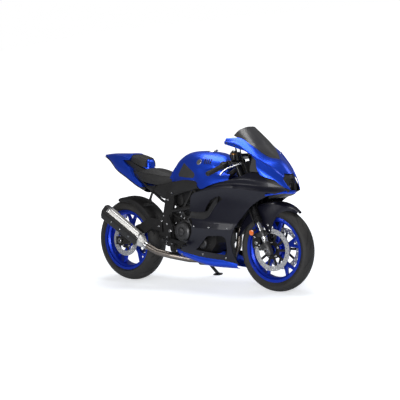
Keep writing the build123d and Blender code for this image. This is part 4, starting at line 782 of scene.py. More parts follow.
SLIT_LOW, SLIT_MIDDLE, SLIT_TOP = 902, 925, 946
FUEL_WELL = (812, 0, 976)
SEAT = {
    # rider's seat: middle, crown, piping, edge, hem
    98: [(0, 850), (-34, 852), (-62, 852), (-78, 846), (-76, 832)],
    150: [(0, 858), (-50, 858), (-84, 848), (-99, 826), (-96, 798)],
    200: [(0, 866), (-60, 864), (-98, 842), (-113, 808), (-108, 780)],
    251: [(0, 870), (-62, 866), (-104, 834), (-120, 796), (-114, 766)],
    320: [(0, 862), (-58, 858), (-101, 826), (-117, 786), (-111, 754)],
    400: [(0, 842), (-48, 838), (-88, 814), (-104, 778), (-101, 750)],
    460: [(0, 822), (-36, 820), (-72, 808), (-88, 782), (-88, 758)],
    512: [(0, 806), (-26, 806), (-52, 803), (-68, 794), (-70, 778)],
}
PILLION = {
    # the same of the rear seat
    40: [(0, 981), (-28, 981), (-52, 979), (-68, 968), (-72, 946)],
    90: [(0, 975), (-32, 975), (-58, 971), (-75, 956), (-78, 920)],
    135: [(0, 965), (-32, 965), (-58, 959), (-75, 940), (-78, 900)],
    176: [(0, 953), (-30, 953), (-54, 947), (-69, 926), (-72, 884)],
    202: [(0, 944), (-22, 944), (-40, 938), (-54, 920), (-58, 880)],
}
TAIL = {
    # middle, crown, shoulder, waist, hem
    -273: [(0, 977), (-7, 976), (-14, 974), (-16, 968), (-12, 958)],
    -174: [(0, 986), (-24, 984), (-46, 975), (-52, 950), (-47, 915)],
    -98: [(0, 987), (-36, 984), (-66, 972), (-78, 925), (-72, 856)],
    0: [(0, 986), (-48, 982), (-86, 962), (-100, 900), (-93, 812)],
    72: [(0, 985), (-54, 980), (-96, 944), (-110, 866), (-103, 772)],
    150: [(0, 958), (-54, 952), (-98, 916), (-113, 836), (-108, 738)],
    230: [(0, 940), (-54, 934), (-98, 890), (-113, 806), (-109, 702)],
    290: [(0, 930), (-50, 924), (-92, 880), (-108, 790), (-106, 700)],
}
TAIL_OUTLINE = [(-300, 1010), (-300, 985), (-262, 973), (-187, 934), (-85, 863), (26, 813), (138, 754),
                (188, 730), (214, 730), (206, 756), (166, 784), (122, 812), (96, 850), (92, 870), (46, 898),
                (-5, 937), (60, 935), (74, 946), (74, 1010)]
HUMP = [
    # x, half width, low, high of the cover between the two seats
    (150, 44, 858, 920), (186, 42, 858, 934), (204, 40, 858, 938), (212, 37, 858, 932), (217, 32, 858, 910)]
BED = [
    # the same of the bed under the rear seat
    (-20, 74, 880, 944), (60, 78, 850, 930), (130, 78, 830, 896), (180, 74, 820, 872), (260, 70, 800, 850)]
SIDE_COVER = {
    # upper edge, middle, lower edge of the right cover
    240: [(-94, 742), (-99, 730), (-94, 718)], 353: [(-104, 742), (-114, 714), (-108, 684)],
    433: [(-112, 752), (-124, 704), (-118, 646)], 567: [(-138, 776), (-152, 736), (-148, 693)],
    639: [(-144, 788), (-156, 748), (-152, 702)], 740: [(-150, 787), (-164, 752), (-160, 716)],
    800: [(-158, 778), (-168, 756), (-165, 734)]}
UNDERTRAY = {
    # upper edge, side, lower corner, middle
    -250: [(-26, 966), (-28, 960), (-22, 956), (0, 954)],
    -187: [(-47, 940), (-49, 930), (-38, 922), (0, 918)],
    -85: [(-74, 872), (-77, 856), (-60, 846), (0, 842)],
    26: [(-92, 820), (-94, 802), (-74, 790), (0, 786)],
    138: [(-100, 762), (-103, 742), (-82, 730), (0, 726)],
    232: [(-98, 722), (-102, 700), (-84, 690), (0, 688)],
}
BELLY = {
    # right side down to the bottom edge, its first column tucked behind the fairing
    560: [(-116, 276), (-122, 262), (-108, 240), (-94, 232)],
    700: [(-128, 262), (-134, 226), (-118, 203), (-98, 194)],
    850: [(-128, 240), (-130, 194), (-114, 170), (-90, 160)],
    1000: [(-104, 226), (-106, 184), (-88, 160), (-64, 151)],
    1092: [(-72, 200), (-78, 166), (-62, 152), (-42, 148)],
}


def full(line):
    """An outline from the right edge to the middle, carried over to the left edge."""
    return list(line) + [(-y, z) for y, z in reversed(line[:-1])]


def whole(table, middle_first=False):
    """A right half's {x: outline} table for both sides of the machine."""
    return {x: full(line[::-1] if middle_first else line) for x, line in table.items()}


class PieceSettings(bpy.types.PropertyGroup):
    """Sizes that the pieces share."""
    panel: bpy.props.FloatProperty(name="Panel wall", description="Thickness of moulded panels",
                                   default=0.0035, subtype="DISTANCE", unit="LENGTH")


def wall():
    """Thickness of moulded panels, in millimetres."""
    return bpy.context.scene.motorcycle.panel * 1000


def skinned(name, grid, inside, finish, keep=(), holes=(), slot=None, thick=None, both=True, angle=30.0,
            body="chassis", replaces=(), radius=0.7, reach=(-260.0, -4.0)):
    """Panel behind a grid, cut in side view, mirrored and softened."""
    points, faces = sheet(grid, thick or wall(), inside)
    me = trimmed(name, points, faces, keep, holes, reach) if keep or holes else mesh_of(name, points, faces)
    me = twice(me) if both else me
    obj = piece(name, me, finish, slot, angle, replaces, body)
    return softened(obj, radius) if radius else obj


def outward(grid, lift):
    """The right half's grid moved out of the machine along its own slope."""
    normal = normals(grid)
    middle = grid.mean(axis=(0, 1)) * (1, 0, 1) + (0, 60, -40)
    return grid + normal * lift * (1 if np.sum(normal * (grid - middle)) > 0 else -1)


class BuildNose(bpy.types.Operator):
    """Nose cowl and screen"""
    bl_idname = "motorcycle.nose"
    bl_label = "Nose"

    def execute(self, context):
        skinned("nose_skin", skin(COWL, 8, 6, sharp=(2, 3)), (1300, 0, 700), "blue_paint", COWL_OUTLINE,
                [MOUTH], replaces=("nose_cowl",), reach=(-260, 0.0))
        top = [(1080, 1090), (1118, 1104), (1132, 1112), (1150, 1146), (1176, 1168), (1196, 1172),
               (1240, 1170), (1440, 1000), (1440, 900), (1080, 900)]
        skinned("screen_sheet", skin(whole(SCREEN), 6, 6), (1300, 0, 700), "smoked_screen", top,
                thick=SHEET_WALL, both=False, angle=40, replaces=("windscreen",), radius=0, reach=(-300, 300))
        return {"FINISHED"}


class BuildFairings(bpy.types.Operator):
    """Side fairings with their vents, lamps, studs and inner ducts, the belly pan and the nose's lip"""
    bl_idname = "motorcycle.fairings"
    bl_label = "Fairings"

    def execute(self, context):
        grid = skin(FAIRING, 8, 5, sharp=(3, 4, 7))
        skinned("fairing_skins", grid, (1000, 0, 500), "navy_paint", FAIRING_OUTLINE, [WINDOW, VENT],
                angle=26, replaces=("side_fairings",), radius=0.8, reach=(-260, -10))
        skinned("side_lamps", outward(grid, -1.5), (1000, 0, 500), "black_plastic", SIDE_LAMP,
                slot="lamp_glass", radius=0)
        skinned("vent_ledges", net(VENT_LEDGE, 4, 4), (850, 0, 500), "grey_panel", slot="navy_paint",
                radius=0)
        liner = Parts().prism([(745, 566), (886, 566), (960, 660), (1000, 690), (1060, 690), (1060, 600),
                               (960, 500), (760, 500)], -156, -153)
        liner.mirrored().piece("vent_liners", "black_plastic")
        side = outward(grid, 1.0)
        studs = Parts().bolts([side[nearest(side, x, z)] for x, z in FAIRING_STUDS], (0, -1, 0), 5.0, 2.5)
        studs.mirrored().piece("fairing_studs", "bright_steel")
        skinned("inner_ducts", net(INNER_DUCT, 4, 4), (900, 0, 300), "black_plastic", radius=0)
        grid = skin(BELLY, 6, 5)
        skinned("belly_skins", grid, (800, 0, 300), "blue_paint", replaces=("belly_pan",))
        lip = [(1425, -168, 690), (1470, -124, 700), (1508, -80, 708), (1528, -40, 706), (1536, 0, 705)]
        lip += [(x, -y, z) for x, y, z in lip[-2::-1]]
        path = smooth_run(np.array(lip, float), 8)
        sections = []
        for k, (x, y, z) in enumerate(path):
            h = 5 + 7 * math.sin(math.pi * k / (len(path) - 1))
            sections.append([(x - 9, y, z + h), (x, y, z + h * 0.9), (x + 4, y, z), (x, y, z - h * 0.9),
                             (x - 9, y, z - h), (x - 12, y, z)])
        Parts().loft(sections).piece("nose_lip", "blue_paint", angle=40)
        return {"FINISHED"}


class BuildTank(bpy.types.Operator):
    """Fuel tank skin, its side wings, knee pads, slits and badges"""
    bl_idname = "motorcycle.tank"
    bl_label = "Tank"

    def execute(self, context):
        well = Parts().lathe(FUEL_WELL, (0, 0, 1), [(46, 0), (46, 60)], 40)
        raw = mesh_of("tank_raw", *closed(skin(whole(TANK, middle_first=True), 6, 5, sharp=(1, 3, 7, 9))))
        me = carved(raw, [(well.mesh("well"), "DIFFERENCE")])
        piece("tank_skin", me, "blue_paint", angle=30, replaces=("fuel_tank",))
        skinned("tank_wings", skin(WING, 6, 5), (900, 0, 700), "blue_paint", WING_OUTLINE)
        half = skin(TANK, 6, 5, sharp=(2, 4))
        skinned("knee_pads", outward(half, 1.4), (750, 0, 700), "grey_panel", KNEE_PAD, slot="black_plastic",
                thick=5, radius=0.5)
        slits = Parts()
        flank = outward(half, 0.6)
        for x, rise in TANK_SLITS:
            row = flank[np.argmin(abs(flank[:, 0, 0] - x))]
            span = row[(row[:, 2] < SLIT_TOP + rise) & (row[:, 2] > SLIT_LOW + rise)]
            slits.tube([(x - (q[2] - SLIT_MIDDLE) * 0.12, q[1] + 2.2, q[2]) for q in span], 4.2, 10, 2)
        slits.mirrored().piece("tank_slits", "black_plastic")
        spot = nearest(half, 806, 918)
        slope = (outward(half, 1.0) - half)[spot]
        badge = Parts().lathe(half[spot] - slope, slope, [(0.1, 6.2), (9, 6.2), (17, 5.4), (20, 4.6),
                                                             (21, 3.4), (22.5, 3.2), (23, 0)], 40)
        badge.mirrored().piece("tank_badges", "bright_steel", angle=25)
        return {"FINISHED"}


class BuildTail(bpy.types.Operator):
    """Tail cowl, undertray, and the hump and bed of the seats"""
    bl_idname = "motorcycle.tail"
    bl_label = "Tail"

    def execute(self, context):
        grid = skin(TAIL, 6, 5, sharp=(2,))
        skinned("tail_skin", grid, (0, 0, 800), "blue_paint", TAIL_OUTLINE, angle=28, replaces=("tail_cowl",),
                reach=(-260, 0.0))
        skinned("undertray", skin(whole(UNDERTRAY), 6, 5), (0, 0, 1200), "black_plastic", both=False,
                radius=0)
        hump = [[(x, -h, low), (x, -h, top - 14), (x, -h + 8, top - 3), (x, -h + 22, top), (x, h - 22, top),
                 (x, h - 8, top - 3), (x, h, top - 14), (x, h, low)] for x, h, low, top in HUMP]
        Parts().loft(hump).piece("seat_hump", "blue_paint", angle=40)
        bed = [[(x, -h, low), (x, -h, top), (x, h, top), (x, h, low)] for x, h, low, top in BED]
        Parts().loft(bed).piece("seat_bed", "black_plastic", angle=40)
        return {"FINISHED"}


SEAT_STEPS = 5                                # grid columns between two of a seat's table


def pad(name, table, replaces, sharp):
    """Closed upholstered pad from a half table, its cover line at the sharp columns."""
    grid = skin(whole(table, middle_first=True), 6, SEAT_STEPS, sharp)
    me = mesh_of(name, *closed(grid))
    obj = piece(name, me, "seat_cover", angle=50, replaces=replaces)
    piping = Parts()
    for column in sharp:
        piping.tube(grid[1:-1, column * SEAT_STEPS], 1.6, 8)
    piping.piece(name + "_piping", "seat_cover")
    return obj


class BuildSeats(bpy.types.Operator):
    """Rider's and pillion's pads with their piping"""
    bl_idname = "motorcycle.seats"
    bl_label = "Seats"

    def execute(self, context):
        pad("rider_pad", SEAT, ("rider_seat",), (2, 6))
        pad("pillion_pad", PILLION, ("pillion_seat",), (2, 6))
        skinned("seat_side_covers", skin(SIDE_COVER, 6, 6), (500, 0, 740), "black_plastic",
                replaces=("side_covers",), radius=0.8)
        return {"FINISHED"}


FENDER = [
    # angle from forward, then skirt, side, crease, crown half, crown, middle
    (54, [(-16, -6), (-22, -1), (-28, 4), (-22, 12), (-11, 18), (0, 21)]),
    (64, [(-40, -14), (-44, -6), (-46, 4), (-34, 14), (-17, 21), (0, 24)]),
    (76, [(-62, -54), (-62, -22), (-60, 4), (-46, 15), (-24, 22), (0, 24)]),
    (84, [(-72, -120), (-70, -50), (-64, 4), (-48, 15), (-24, 22), (0, 24)]),
    (94, [(-75, -200), (-75, -80), (-69, 2), (-52, 14), (-26, 20), (0, 22)]),
    (104, [(-75, -196), (-75, -80), (-71, 0), (-54, 13), (-27, 19), (0, 21)]),
    (116, [(-75, -96), (-75, -46), (-71, 0), (-54, 13), (-27, 19), (0, 21)]),
    (140, [(-72, -54), (-72, -26), (-69, 0), (-52, 12), (-26, 18), (0, 20)]),
    (164, [(-60, -16), (-60, -8), (-58, 0), (-44, 9), (-22, 14), (0, 15)]),
]
HUGGER = [
    # the same over the rear tyre
    (12, [(-78, -30), (-80, -14), (-78, 0), (-50, 16), (-25, 21), (0, 22)]),
    (26, [(-84, -40), (-86, -20), (-84, 0), (-54, 17), (-27, 22), (0, 24)]),
    (45, [(-88, -46), (-90, -22), (-88, 0), (-56, 18), (-28, 23), (0, 25)]),
    (65, [(-86, -42), (-88, -20), (-86, 0), (-55, 17), (-27, 22), (0, 24)]),
    (82, [(-80, -32), (-82, -14), (-80, 2), (-52, 16), (-26, 21), (0, 23)]),
    (106, [(-62, -14), (-64, -4), (-62, 2), (-44, 11), (-22, 15), (0, 17)]),
]


class BuildGuards(bpy.types.Operator):
    """Front mudguard and the rear hugger"""
    bl_idname = "motorcycle.guards"
    bl_label = "Mudguards"

    def execute(self, context):
        for name, axle, radius, table, finish, body, stands_for in (
                ("front_guard", FRONT_AXLE, 318.0, FENDER, "navy_paint", "steering", "front_fender"),
                ("rear_guard", REAR_AXLE, 321.0, HUGGER, "black_plastic", "chassis", "rear_hugger")):
            rows = [[around(axle, radius + h, angle, y) for y, h in full(line)] for angle, line in table]
            skinned(name, net(rows, 6, 4, sharp=(2, 8)), (axle[0], 0, axle[1]), finish, slot="black_plastic",
                    thick=SHEET_WALL, both=False, body=body, replaces=(stands_for,), radius=0.8)
        return {"FINISHED"}


SLIDER_REACH = 21.0                           # faces this near a fork tube's axis are bright


def off_axis(face, point, axis):
    """Distance in millimetres from a face's middle to a line through a point."""
    arm = face.center - point
    return (arm - axis * arm.dot(axis)).length * 1000


class FinishFrame(bpy.types.Operator):
    """Finishes and small edge radii on the CAD pieces"""
    bl_idname = "motorcycle.frame_finish"
    bl_label = "Frame finishes"

    def execute(self, context):
        finishes = {node: key for key, nodes in NODES_OF_FINISH.items() for node in nodes.split()}
        radii = {node: key for key, nodes in NODES_OF_RADIUS.items() for node in nodes.split()}
        for name, obj in frame["nodes"].items():
            obj.data.materials.clear()
            obj.data.materials.append(FINISH[finishes[name]])
            if name in radii:
                weld = obj.modifiers.new("merged", "WELD")
                weld.merge_threshold = 0.00002
                softened(obj, radii[name])
        legs = frame["nodes"]["fork_legs"].data
        legs.materials.append(FINISH["bright_steel"])
        axis = UP @ Vector((-math.sin(RAKE), 0, math.cos(RAKE)))
        feet = [Vector(place(steer([(FORK_AHEAD, y, 400)]))[0]) for y in (-FORK_ASIDE, FORK_ASIDE)]
        for face in legs.polygons:
            slider = min(off_axis(face, foot, axis) for foot in feet) < SLIDER_REACH
            face.material_index = int(slider and abs(face.normal.dot(axis)) < 0.5)
        spin = UP @ Vector((0, 1, 0))
        for name, centre, reach in (("front_discs", FRONT_AXLE, 114.0), ("rear_disc", REAR_AXLE, 83.0)):
            me = frame["nodes"][name].data
            me.materials.append(FINISH["black_metal"])
            middle = at_axle(centre)
            for face in me.polygons:
                face.material_index = int(off_axis(face, middle, spin) < reach)
        return {"FINISHED"}


LAMP = (1494, 0, 752)
COWL_SCREWS = [(1098, 1056), (1186, 1034), (1300, 974)]


class BuildNoseInside(bpy.types.Operator):
    """Duct in the nose's mouth, the lamp's bezel and lens, and the cowl's screws"""
    bl_idname = "motorcycle.nose_inside"
    bl_label = "Nose inside"

    def execute(self, context):
        duct = []
        for x, half, top, low in ((1400, 104, 900, 662), (1460, 98, 872, 676), (1500, 76, 843, 690),
                                  (1520, 60, 823, 700), (1534, 46, 805, 708), (1512, 42, 792, 716),
                                  (1470, 62, 784, 690), (1410, 82, 776, 676)):
            right = [(x, -half, low), (x, -half * 0.95, top - 32), (x, -half * 0.5, top - 8)]
            duct.append(right + [(x, 0, top)] + [(x, -y, z) for x, y, z in right[::-1]])
        Parts().loft(duct, caps=False).piece("nose_duct", "black_plastic", angle=30, replaces=("nose_panel",))
        bezel = Parts()
        bezel.lathe(LAMP, (1, 0, 0), [(30, 0), (40, 0), (42, 8), (38, 14), (31, 10)], 40)
        for z in (716, 790):
            bezel.tube([(1478, -60, z), (1512, -30, z), (1520, 0, z), (1512, 30, z), (1478, 60, z)], 4, 8, 6)
        bezel.piece("lamp_bezel", "black_metal", slot="black_plastic")
        glass = Parts().lathe((LAMP[0] + 2, *LAMP[1:]), (1, 0, 0),
                              [(0.2, 18), (12, 17), (22, 13), (29, 6), (30, 0)], 40)
        glass.piece("lamp_lens", "dark_lens", slot="lamp_glass")
        half = outward(skin(COWL, 8, 6, sharp=(2, 3)), 1.5)
        screws = Parts().bolts([half[nearest(half, x, z)] for x, z in COWL_SCREWS], (0, -1, 0.1), 4.0, 2.5)
        screws.mirrored().piece("nose_screws", "black_metal", slot="bright_steel")
        return {"FINISHED"}


def chamfered(rows, foot, edge):
    """Sections of a box with its long edges cut off, from rows of x, half width, low and high."""
    return [[(x, -h, lo + foot), (x, -h + edge, lo), (x, h - edge, lo), (x, h, lo + foot), (x, h, hi - 14),
             (x, h - 12, hi), (x, -h + 12, hi), (x, -h, hi - 14)] for x, h, lo, hi in rows]


CLUTCH, WATER_PUMP, ALTERNATOR = (648, 408), (820, 330), (775, 396)     # x and z of the covers
PIVOT = (520, 405)                            # of the swingarm, x and z
CRANKCASE_BOLTS = [(598, 300), (640, 286), (700, 282), (762, 282), (824, 290), (880, 320), (900, 380),
                   (590, 350)]
FRAME_BOLTS = [(486, -143, 363), (486, -143, 333), (484, -143, 460), (540, -143, 690), (496, -143, 640),
               (528, -143, 316)]
SIDE_BOLTS = [(450, 520), (430, 480), (402, 440), (560, 470), (612, 520), (600, 548), (640, 505), (700, 300),
              (560, 260), (610, 236), (548, 372)]
RADIATOR_FOOT, RADIATOR_RAKE = (1084.5, 450.0), 0.1875      # x and z of its face, and x for each z


class BuildEngineFittings(bpy.types.Operator):
    """Air box, throttle bodies, covers, bolts, oil lines and hoses round the engine, and radiator fins"""
    bl_idname = "motorcycle.engine_fittings"
    bl_label = "Engine fittings"

    def execute(self, context):
        box = Parts()
        box.loft(chamfered(((585, 78, 640, 760), (620, 92, 610, 772), (720, 96, 640, 776),
                            (800, 84, 690, 780), (840, 60, 730, 780)), 14, 12))
        rows = ((455, 66, 640, 712), (470, 76, 600, 716), (560, 80, 580, 720), (586, 70, 600, 716))
        box.loft([[(x, -h, lo + 10), (x, -h + 10, lo), (x, h - 10, lo), (x, h, lo + 10), (x, h, hi - 8),
                   (x, -h, hi - 8)] for x, h, lo, hi in rows])
        box.loft(chamfered(((430, 58, 300, 470), (462, 84, 240, 520), (510, 90, 226, 560),
                            (560, 84, 230, 580)), 16, 14))
        box.piece("air_box", "black_plastic", angle=35)
        metal = Parts()
        for y in (-52, 52):
            metal.tube([(690, y, 690), (720, y, 650), (780, y, 622), (820, y, 610)], 27, 20, 5)
            metal.lathe((725, y, 646), (0.7, 0, -0.4), [(30, -8), (32, -6), (32, 6), (30, 8)], 24)
        metal.tube([(590, -84, 470), (600, -96, 540), (650, -100, 580), (720, -84, 590)], 15, 14, 6)
        metal.lathe((560, -96, 560), (0, -1, 0), [(0.5, 26), (18, 26), (24, 20), (26, 0)], 24)
        metal.bolt_ring(CLUTCH, 78, -131, 9, 12, -1, 4.4, 5)
        metal.lathe((CLUTCH[0], -176, CLUTCH[1]), (0, -1, 0), [(0.5, 3), (22, 3), (26, 1), (28, -4)], 36)
        metal.bolt_ring(CLUTCH, 17, -178, 6, 0, -1, 2.6, 2)
        metal.bolt_ring(WATER_PUMP, 34, -141, 5, 20, -1, 3.6, 4)
        metal.tube([(700, -126, 470), (690, -140, 500), (724, -140, 520), (760, -128, 500)], 6, 10, 8)
        metal.tube([(742, -120, 436), (770, -132, 452), (792, -132, 430), (800, -124, 396)], 7, 10, 8)
        metal.lathe((736, -124, 372), (0, -1, 0), [(0.5, 16), (12, 16), (15, 12), (16, 0)], 20)
        metal.lathe((704, -120, 316), (0, -1, 0), [(0.5, 22), (26, 22), (31, 17), (33, 0)], 28)
        metal.bolts([(x, -118, z) for x, z in CRANKCASE_BOLTS], (0, -1, 0), 4, 5)
        metal.bolt_ring(ALTERNATOR, 68, 130, 8, 10, 1, 4, 5)
        metal.piece("engine_metal", "dark_metal", angle=35)
        hoses = Parts()
        for radius, path in ((13, [(905, -100, 560), (960, -132, 520), (1010, -140, 480), (1050, -136, 470)]),
                             (13, [(880, -96, 650), (960, -130, 690), (1040, -132, 690), (1088, -128, 672)]),
                             (7, [(520, -100, 640), (560, -120, 600), (620, -122, 560), (640, -112, 500)]),
                             (5, [(470, -96, 600), (500, -112, 560), (560, -124, 520), (610, -122, 500)]),
                             (5, [(540, -118, 330), (600, -128, 300), (700, -128, 268), (800, -112, 262)])):
            hoses.tube(path, radius, 14 if radius > 10 else 10, 8)
        hoses.piece("engine_hoses", "hose_rubber")
        bright = Parts()
        bright.bolts(FRAME_BOLTS, (0, -1, 0), 5, 6)
        for side in (-1, 1):
            bright.bolt((PIVOT[0], side * 149, PIVOT[1]), (0, side, 0), 11, 8)
        bright.bolts([(x, -124 if x > 540 else -142, z) for x, z in SIDE_BOLTS], (0, -1, 0), 4.5, 5)
        bright.lathe((1096, 0, 694), (0.2, 0, 1), [(18, -6), (18, 8), (22, 8), (22, 14), (0.5, 15)], 24)
        bright.piece("engine_bolts", "bright_steel", angle=35)
        fins = Parts()
        for k in range(34):
            z = 460 + k * 6.6
            x = RADIATOR_FOOT[0] + (z - RADIATOR_FOOT[1]) * RADIATOR_RAKE
            edge = ((x - 5, -126), (x + 1.5, -126), (x + 1.5, 126), (x - 5, 126))
            fins.add([(a, y, z + up) for up in (0, 1.2) for a, y in edge],
                     [(0, 1, 2, 3), (7, 6, 5, 4), (0, 4, 5, 1), (1, 5, 6, 2), (2, 6, 7, 3), (3, 7, 4, 0)])
        fins.piece("radiator_fins", "fin_metal", slot="dark_metal")
        return {"FINISHED"}


CAN_START, CAN_END = np.array((300.0, -178.0, 296.0)), np.array((-92.0, -190.0, 532.0))
CAN_AXIS = (CAN_END - CAN_START) / np.linalg.norm(CAN_END - CAN_START)
CAN_SIDE = [(-14, 62), (10, 61), (28, 58), (33, 50), (41, 27), (46, 12), (47, 6), (44, -4), (28, -48),
            (22, -53), (0, -52)]


def can_points(outline, t, scale, lift):
    """Can section points (outboard, across) at a distance along the silencer's axis."""
    out = np.array((0, -1, 0.0)) - CAN_AXIS * np.dot(CAN_AXIS, (0, -1, 0))
    out /= np.linalg.norm(out)
    up = np.cross(CAN_AXIS, out)
    points = []
    for x, y in outline:
        r = math.hypot(x, y)
        points.append(CAN_START + CAN_AXIS * t + (out * x + up * y) * (scale + lift / r))
    return points


class BuildExhaust(bpy.types.Operator):
    """Silencer shield, its bands and outlet, and the pipe clamps"""
    bl_idname = "motorcycle.exhaust"
    bl_label = "Exhaust"

    def execute(self, context):
        stations = [(64, 0.90), (100, 0.93), (200, 0.955), (300, 0.98), (400, 1.0), (468, 1.01)]
        outer = np.array([can_points(CAN_SIDE[4:-1], t, k, 4.0) for t, k in stations])
        outer = smooth_run(outer, 4)
        skinned("silencer_shield", outer, (100, -184, 415), "black_plastic", thick=2.5, both=False, angle=25,
                radius=0.6)
        bands = Parts()
        for t, k in ((74, 0.94), (428, 1.0)):
            loop = CAN_SIDE + [(-34, -46), (-38, 20)]
            bands.loft([can_points(loop, t + d, k, lift)
                        for d, lift in ((-7, 0.5), (-7, 2.2), (7, 2.2), (7, 0.5))])
        for t in (150, 250, 350):
            point = can_points([(40, -12)], t, 0.97, 7.5)[0]
            bands.bolt(point, (0, -1, -0.1), 4, 3.5)
        bands.lathe(CAN_START - CAN_AXIS * 18, CAN_AXIS, [(26, 0), (29.5, 1), (29.5, 25), (26, 26)], 32)
        bands.lathe(CAN_START + CAN_AXIS * 8 + (0, -33, 0), (0, 0, 1), [(4, -9), (4, 9)], 10)
        for y in (-52, 52):
            bands.lathe((1030, y, 578), (0.25, 0, 1), [(30, -4), (30, 4), (22, 4), (22, -4), (30, -4)], 28)
        bands.piece("exhaust_bands", "bright_steel", angle=35)
        outlet = Parts().lathe(CAN_END + CAN_AXIS * 12, CAN_AXIS,
                               [(24.6, -14), (24.6, 10), (22, 10), (22, -14), (24.6, -14)], 36)
        outlet.piece("exhaust_outlet", "pipe_steel")
        return {"FINISHED"}


class BuildWheelFittings(bpy.types.Operator):
    """Disc bolts, valve stems and the sprocket's nuts"""
    bl_idname = "motorcycle.wheel_fittings"
    bl_label = "Wheel fittings"

    def execute(self, context):
        for body, centre, spots, radius in (("front_wheel", FRONT_AXLE, ((68.3, 1), (-68.3, -1)), 52),
                                            ("rear_wheel", REAR_AXLE, ((-84.3, -1),), 53)):
            kit = Parts()
            for y, side in spots:
                kit.bolt_ring(centre, radius, y, 5, 20, side, 5.5, 5)
            name = body + "_bolts"
            kit.piece(name, "bright_steel", angle=35, body=body)
            valve = Parts()
            start, end = around(centre, 206, 100, -22), around(centre, 176, 100, -34)
            valve.tube([start, end], 3.4, 10)
            valve.tube([end, around(centre, 168, 100, -37)], 4.6, 10)
            valve.piece(body + "_valve", "black_metal", body=body)
        studs = Parts().bolt_ring(REAR_AXLE, 50, 107.8, 6, 0, 1, 6, 7)
        studs.piece("sprocket_nuts", "bright_steel", angle=35, body="rear_wheel")
        return {"FINISHED"}


REFLECTOR = (1272, -137, 423)


class BuildForkFittings(bpy.types.Operator):
    """Reflectors, caliper caps, mudguard studs and fork caps"""
    bl_idname = "motorcycle.fork_fittings"
    bl_label = "Fork fittings"

    def execute(self, context):
        lens, rim = Parts(), Parts()
        lens.lathe(REFLECTOR, (0, -1, 0), [(0.2, 7), (12, 6.6), (19, 4.5), (20, 0)], 32)
        rim.lathe(REFLECTOR, (0, -1, 0), [(20, -2), (23, -2), (23, 4), (20.5, 4.5)], 32)
        rim.prism([(1262, 402), (1284, 402), (1300, 440), (1290, 452), (1262, 440)], -137, -133)
        lens.mirrored().piece("reflectors", "amber_lens", slot="lamp_glass", angle=50, body="steering")
        metal = Parts()
        for z in (348, 312):
            metal.lathe((1275, -92, z), (0, -1, 0), [(13.5, -3), (13.5, 3), (11, 5), (0.3, 5)], 24)
        metal.bolt((1262, -92, 388), (0, -1, 0), 5, 6)
        for w in (0.0, 40.0):
            at = steer([(FORK_AHEAD - 50, -FORK_ASIDE, 331 + w)])[0]
            metal.bolt(at + (-6, -10, 0), (0, -1, 0), 4.5, 5)
        metal.mirrored().piece("caliper_caps", "lever_aluminium", slot="bright_steel", angle=35,
                               body="steering")
        studs = Parts().bolts([(1383, -79, 438), (1371, -79, 474)], (0, -1, 0), 5.5, 4)
        studs.mirrored().piece("fender_studs", "lever_aluminium", slot="bright_steel", body="steering")
        rim.mirrored().piece("reflector_rims", "black_plastic", body="steering")
        caps = Parts()
        axis = steer([(0, 0, 1)])[0] - steer([(0, 0, 0)])[0]
        for y in (-FORK_ASIDE, FORK_ASIDE):
            top = steer([(FORK_AHEAD, y, 1062)])[0]
            caps.lathe(top, axis, [(24, -2), (24, 3), (18, 6), (12, 6), (12, 9), (0.3, 9)], 6)
            caps.lathe(top, axis, [(6, 9), (6, 13), (0.3, 13)], 12)
        nut = steer([(0, 0, 1058)])[0]
        caps.lathe(nut, axis, [(21, 0), (21, 10), (16, 12), (15, 18), (0.3, 18)], 6)
        caps.piece("fork_caps", "fork_black", slot="bright_steel", angle=35, body="steering")
        return {"FINISHED"}


BAR_RISE, BAR_START = 1006, 33                # up the stem, and out from the fork tube
BAR_SWEEP, BAR_DROP = math.radians(12.0), math.radians(20.0)


def bar_axes(side):
    """Origin and axes of a handlebar: forward, across, out along the bar."""
    flat = math.cos(BAR_DROP)
    out = np.array((-math.sin(BAR_SWEEP) * flat, side * math.cos(BAR_SWEEP) * flat, -math.sin(BAR_DROP)))
    start = steer([(FORK_AHEAD, side * FORK_ASIDE, BAR_RISE)])[0] + out * BAR_START
    ahead = np.array((1, 0, 0.2)) - out * np.dot(out, (1, 0, 0.2))
    ahead /= np.linalg.norm(ahead)
    return start, ahead, np.cross(out, ahead), out


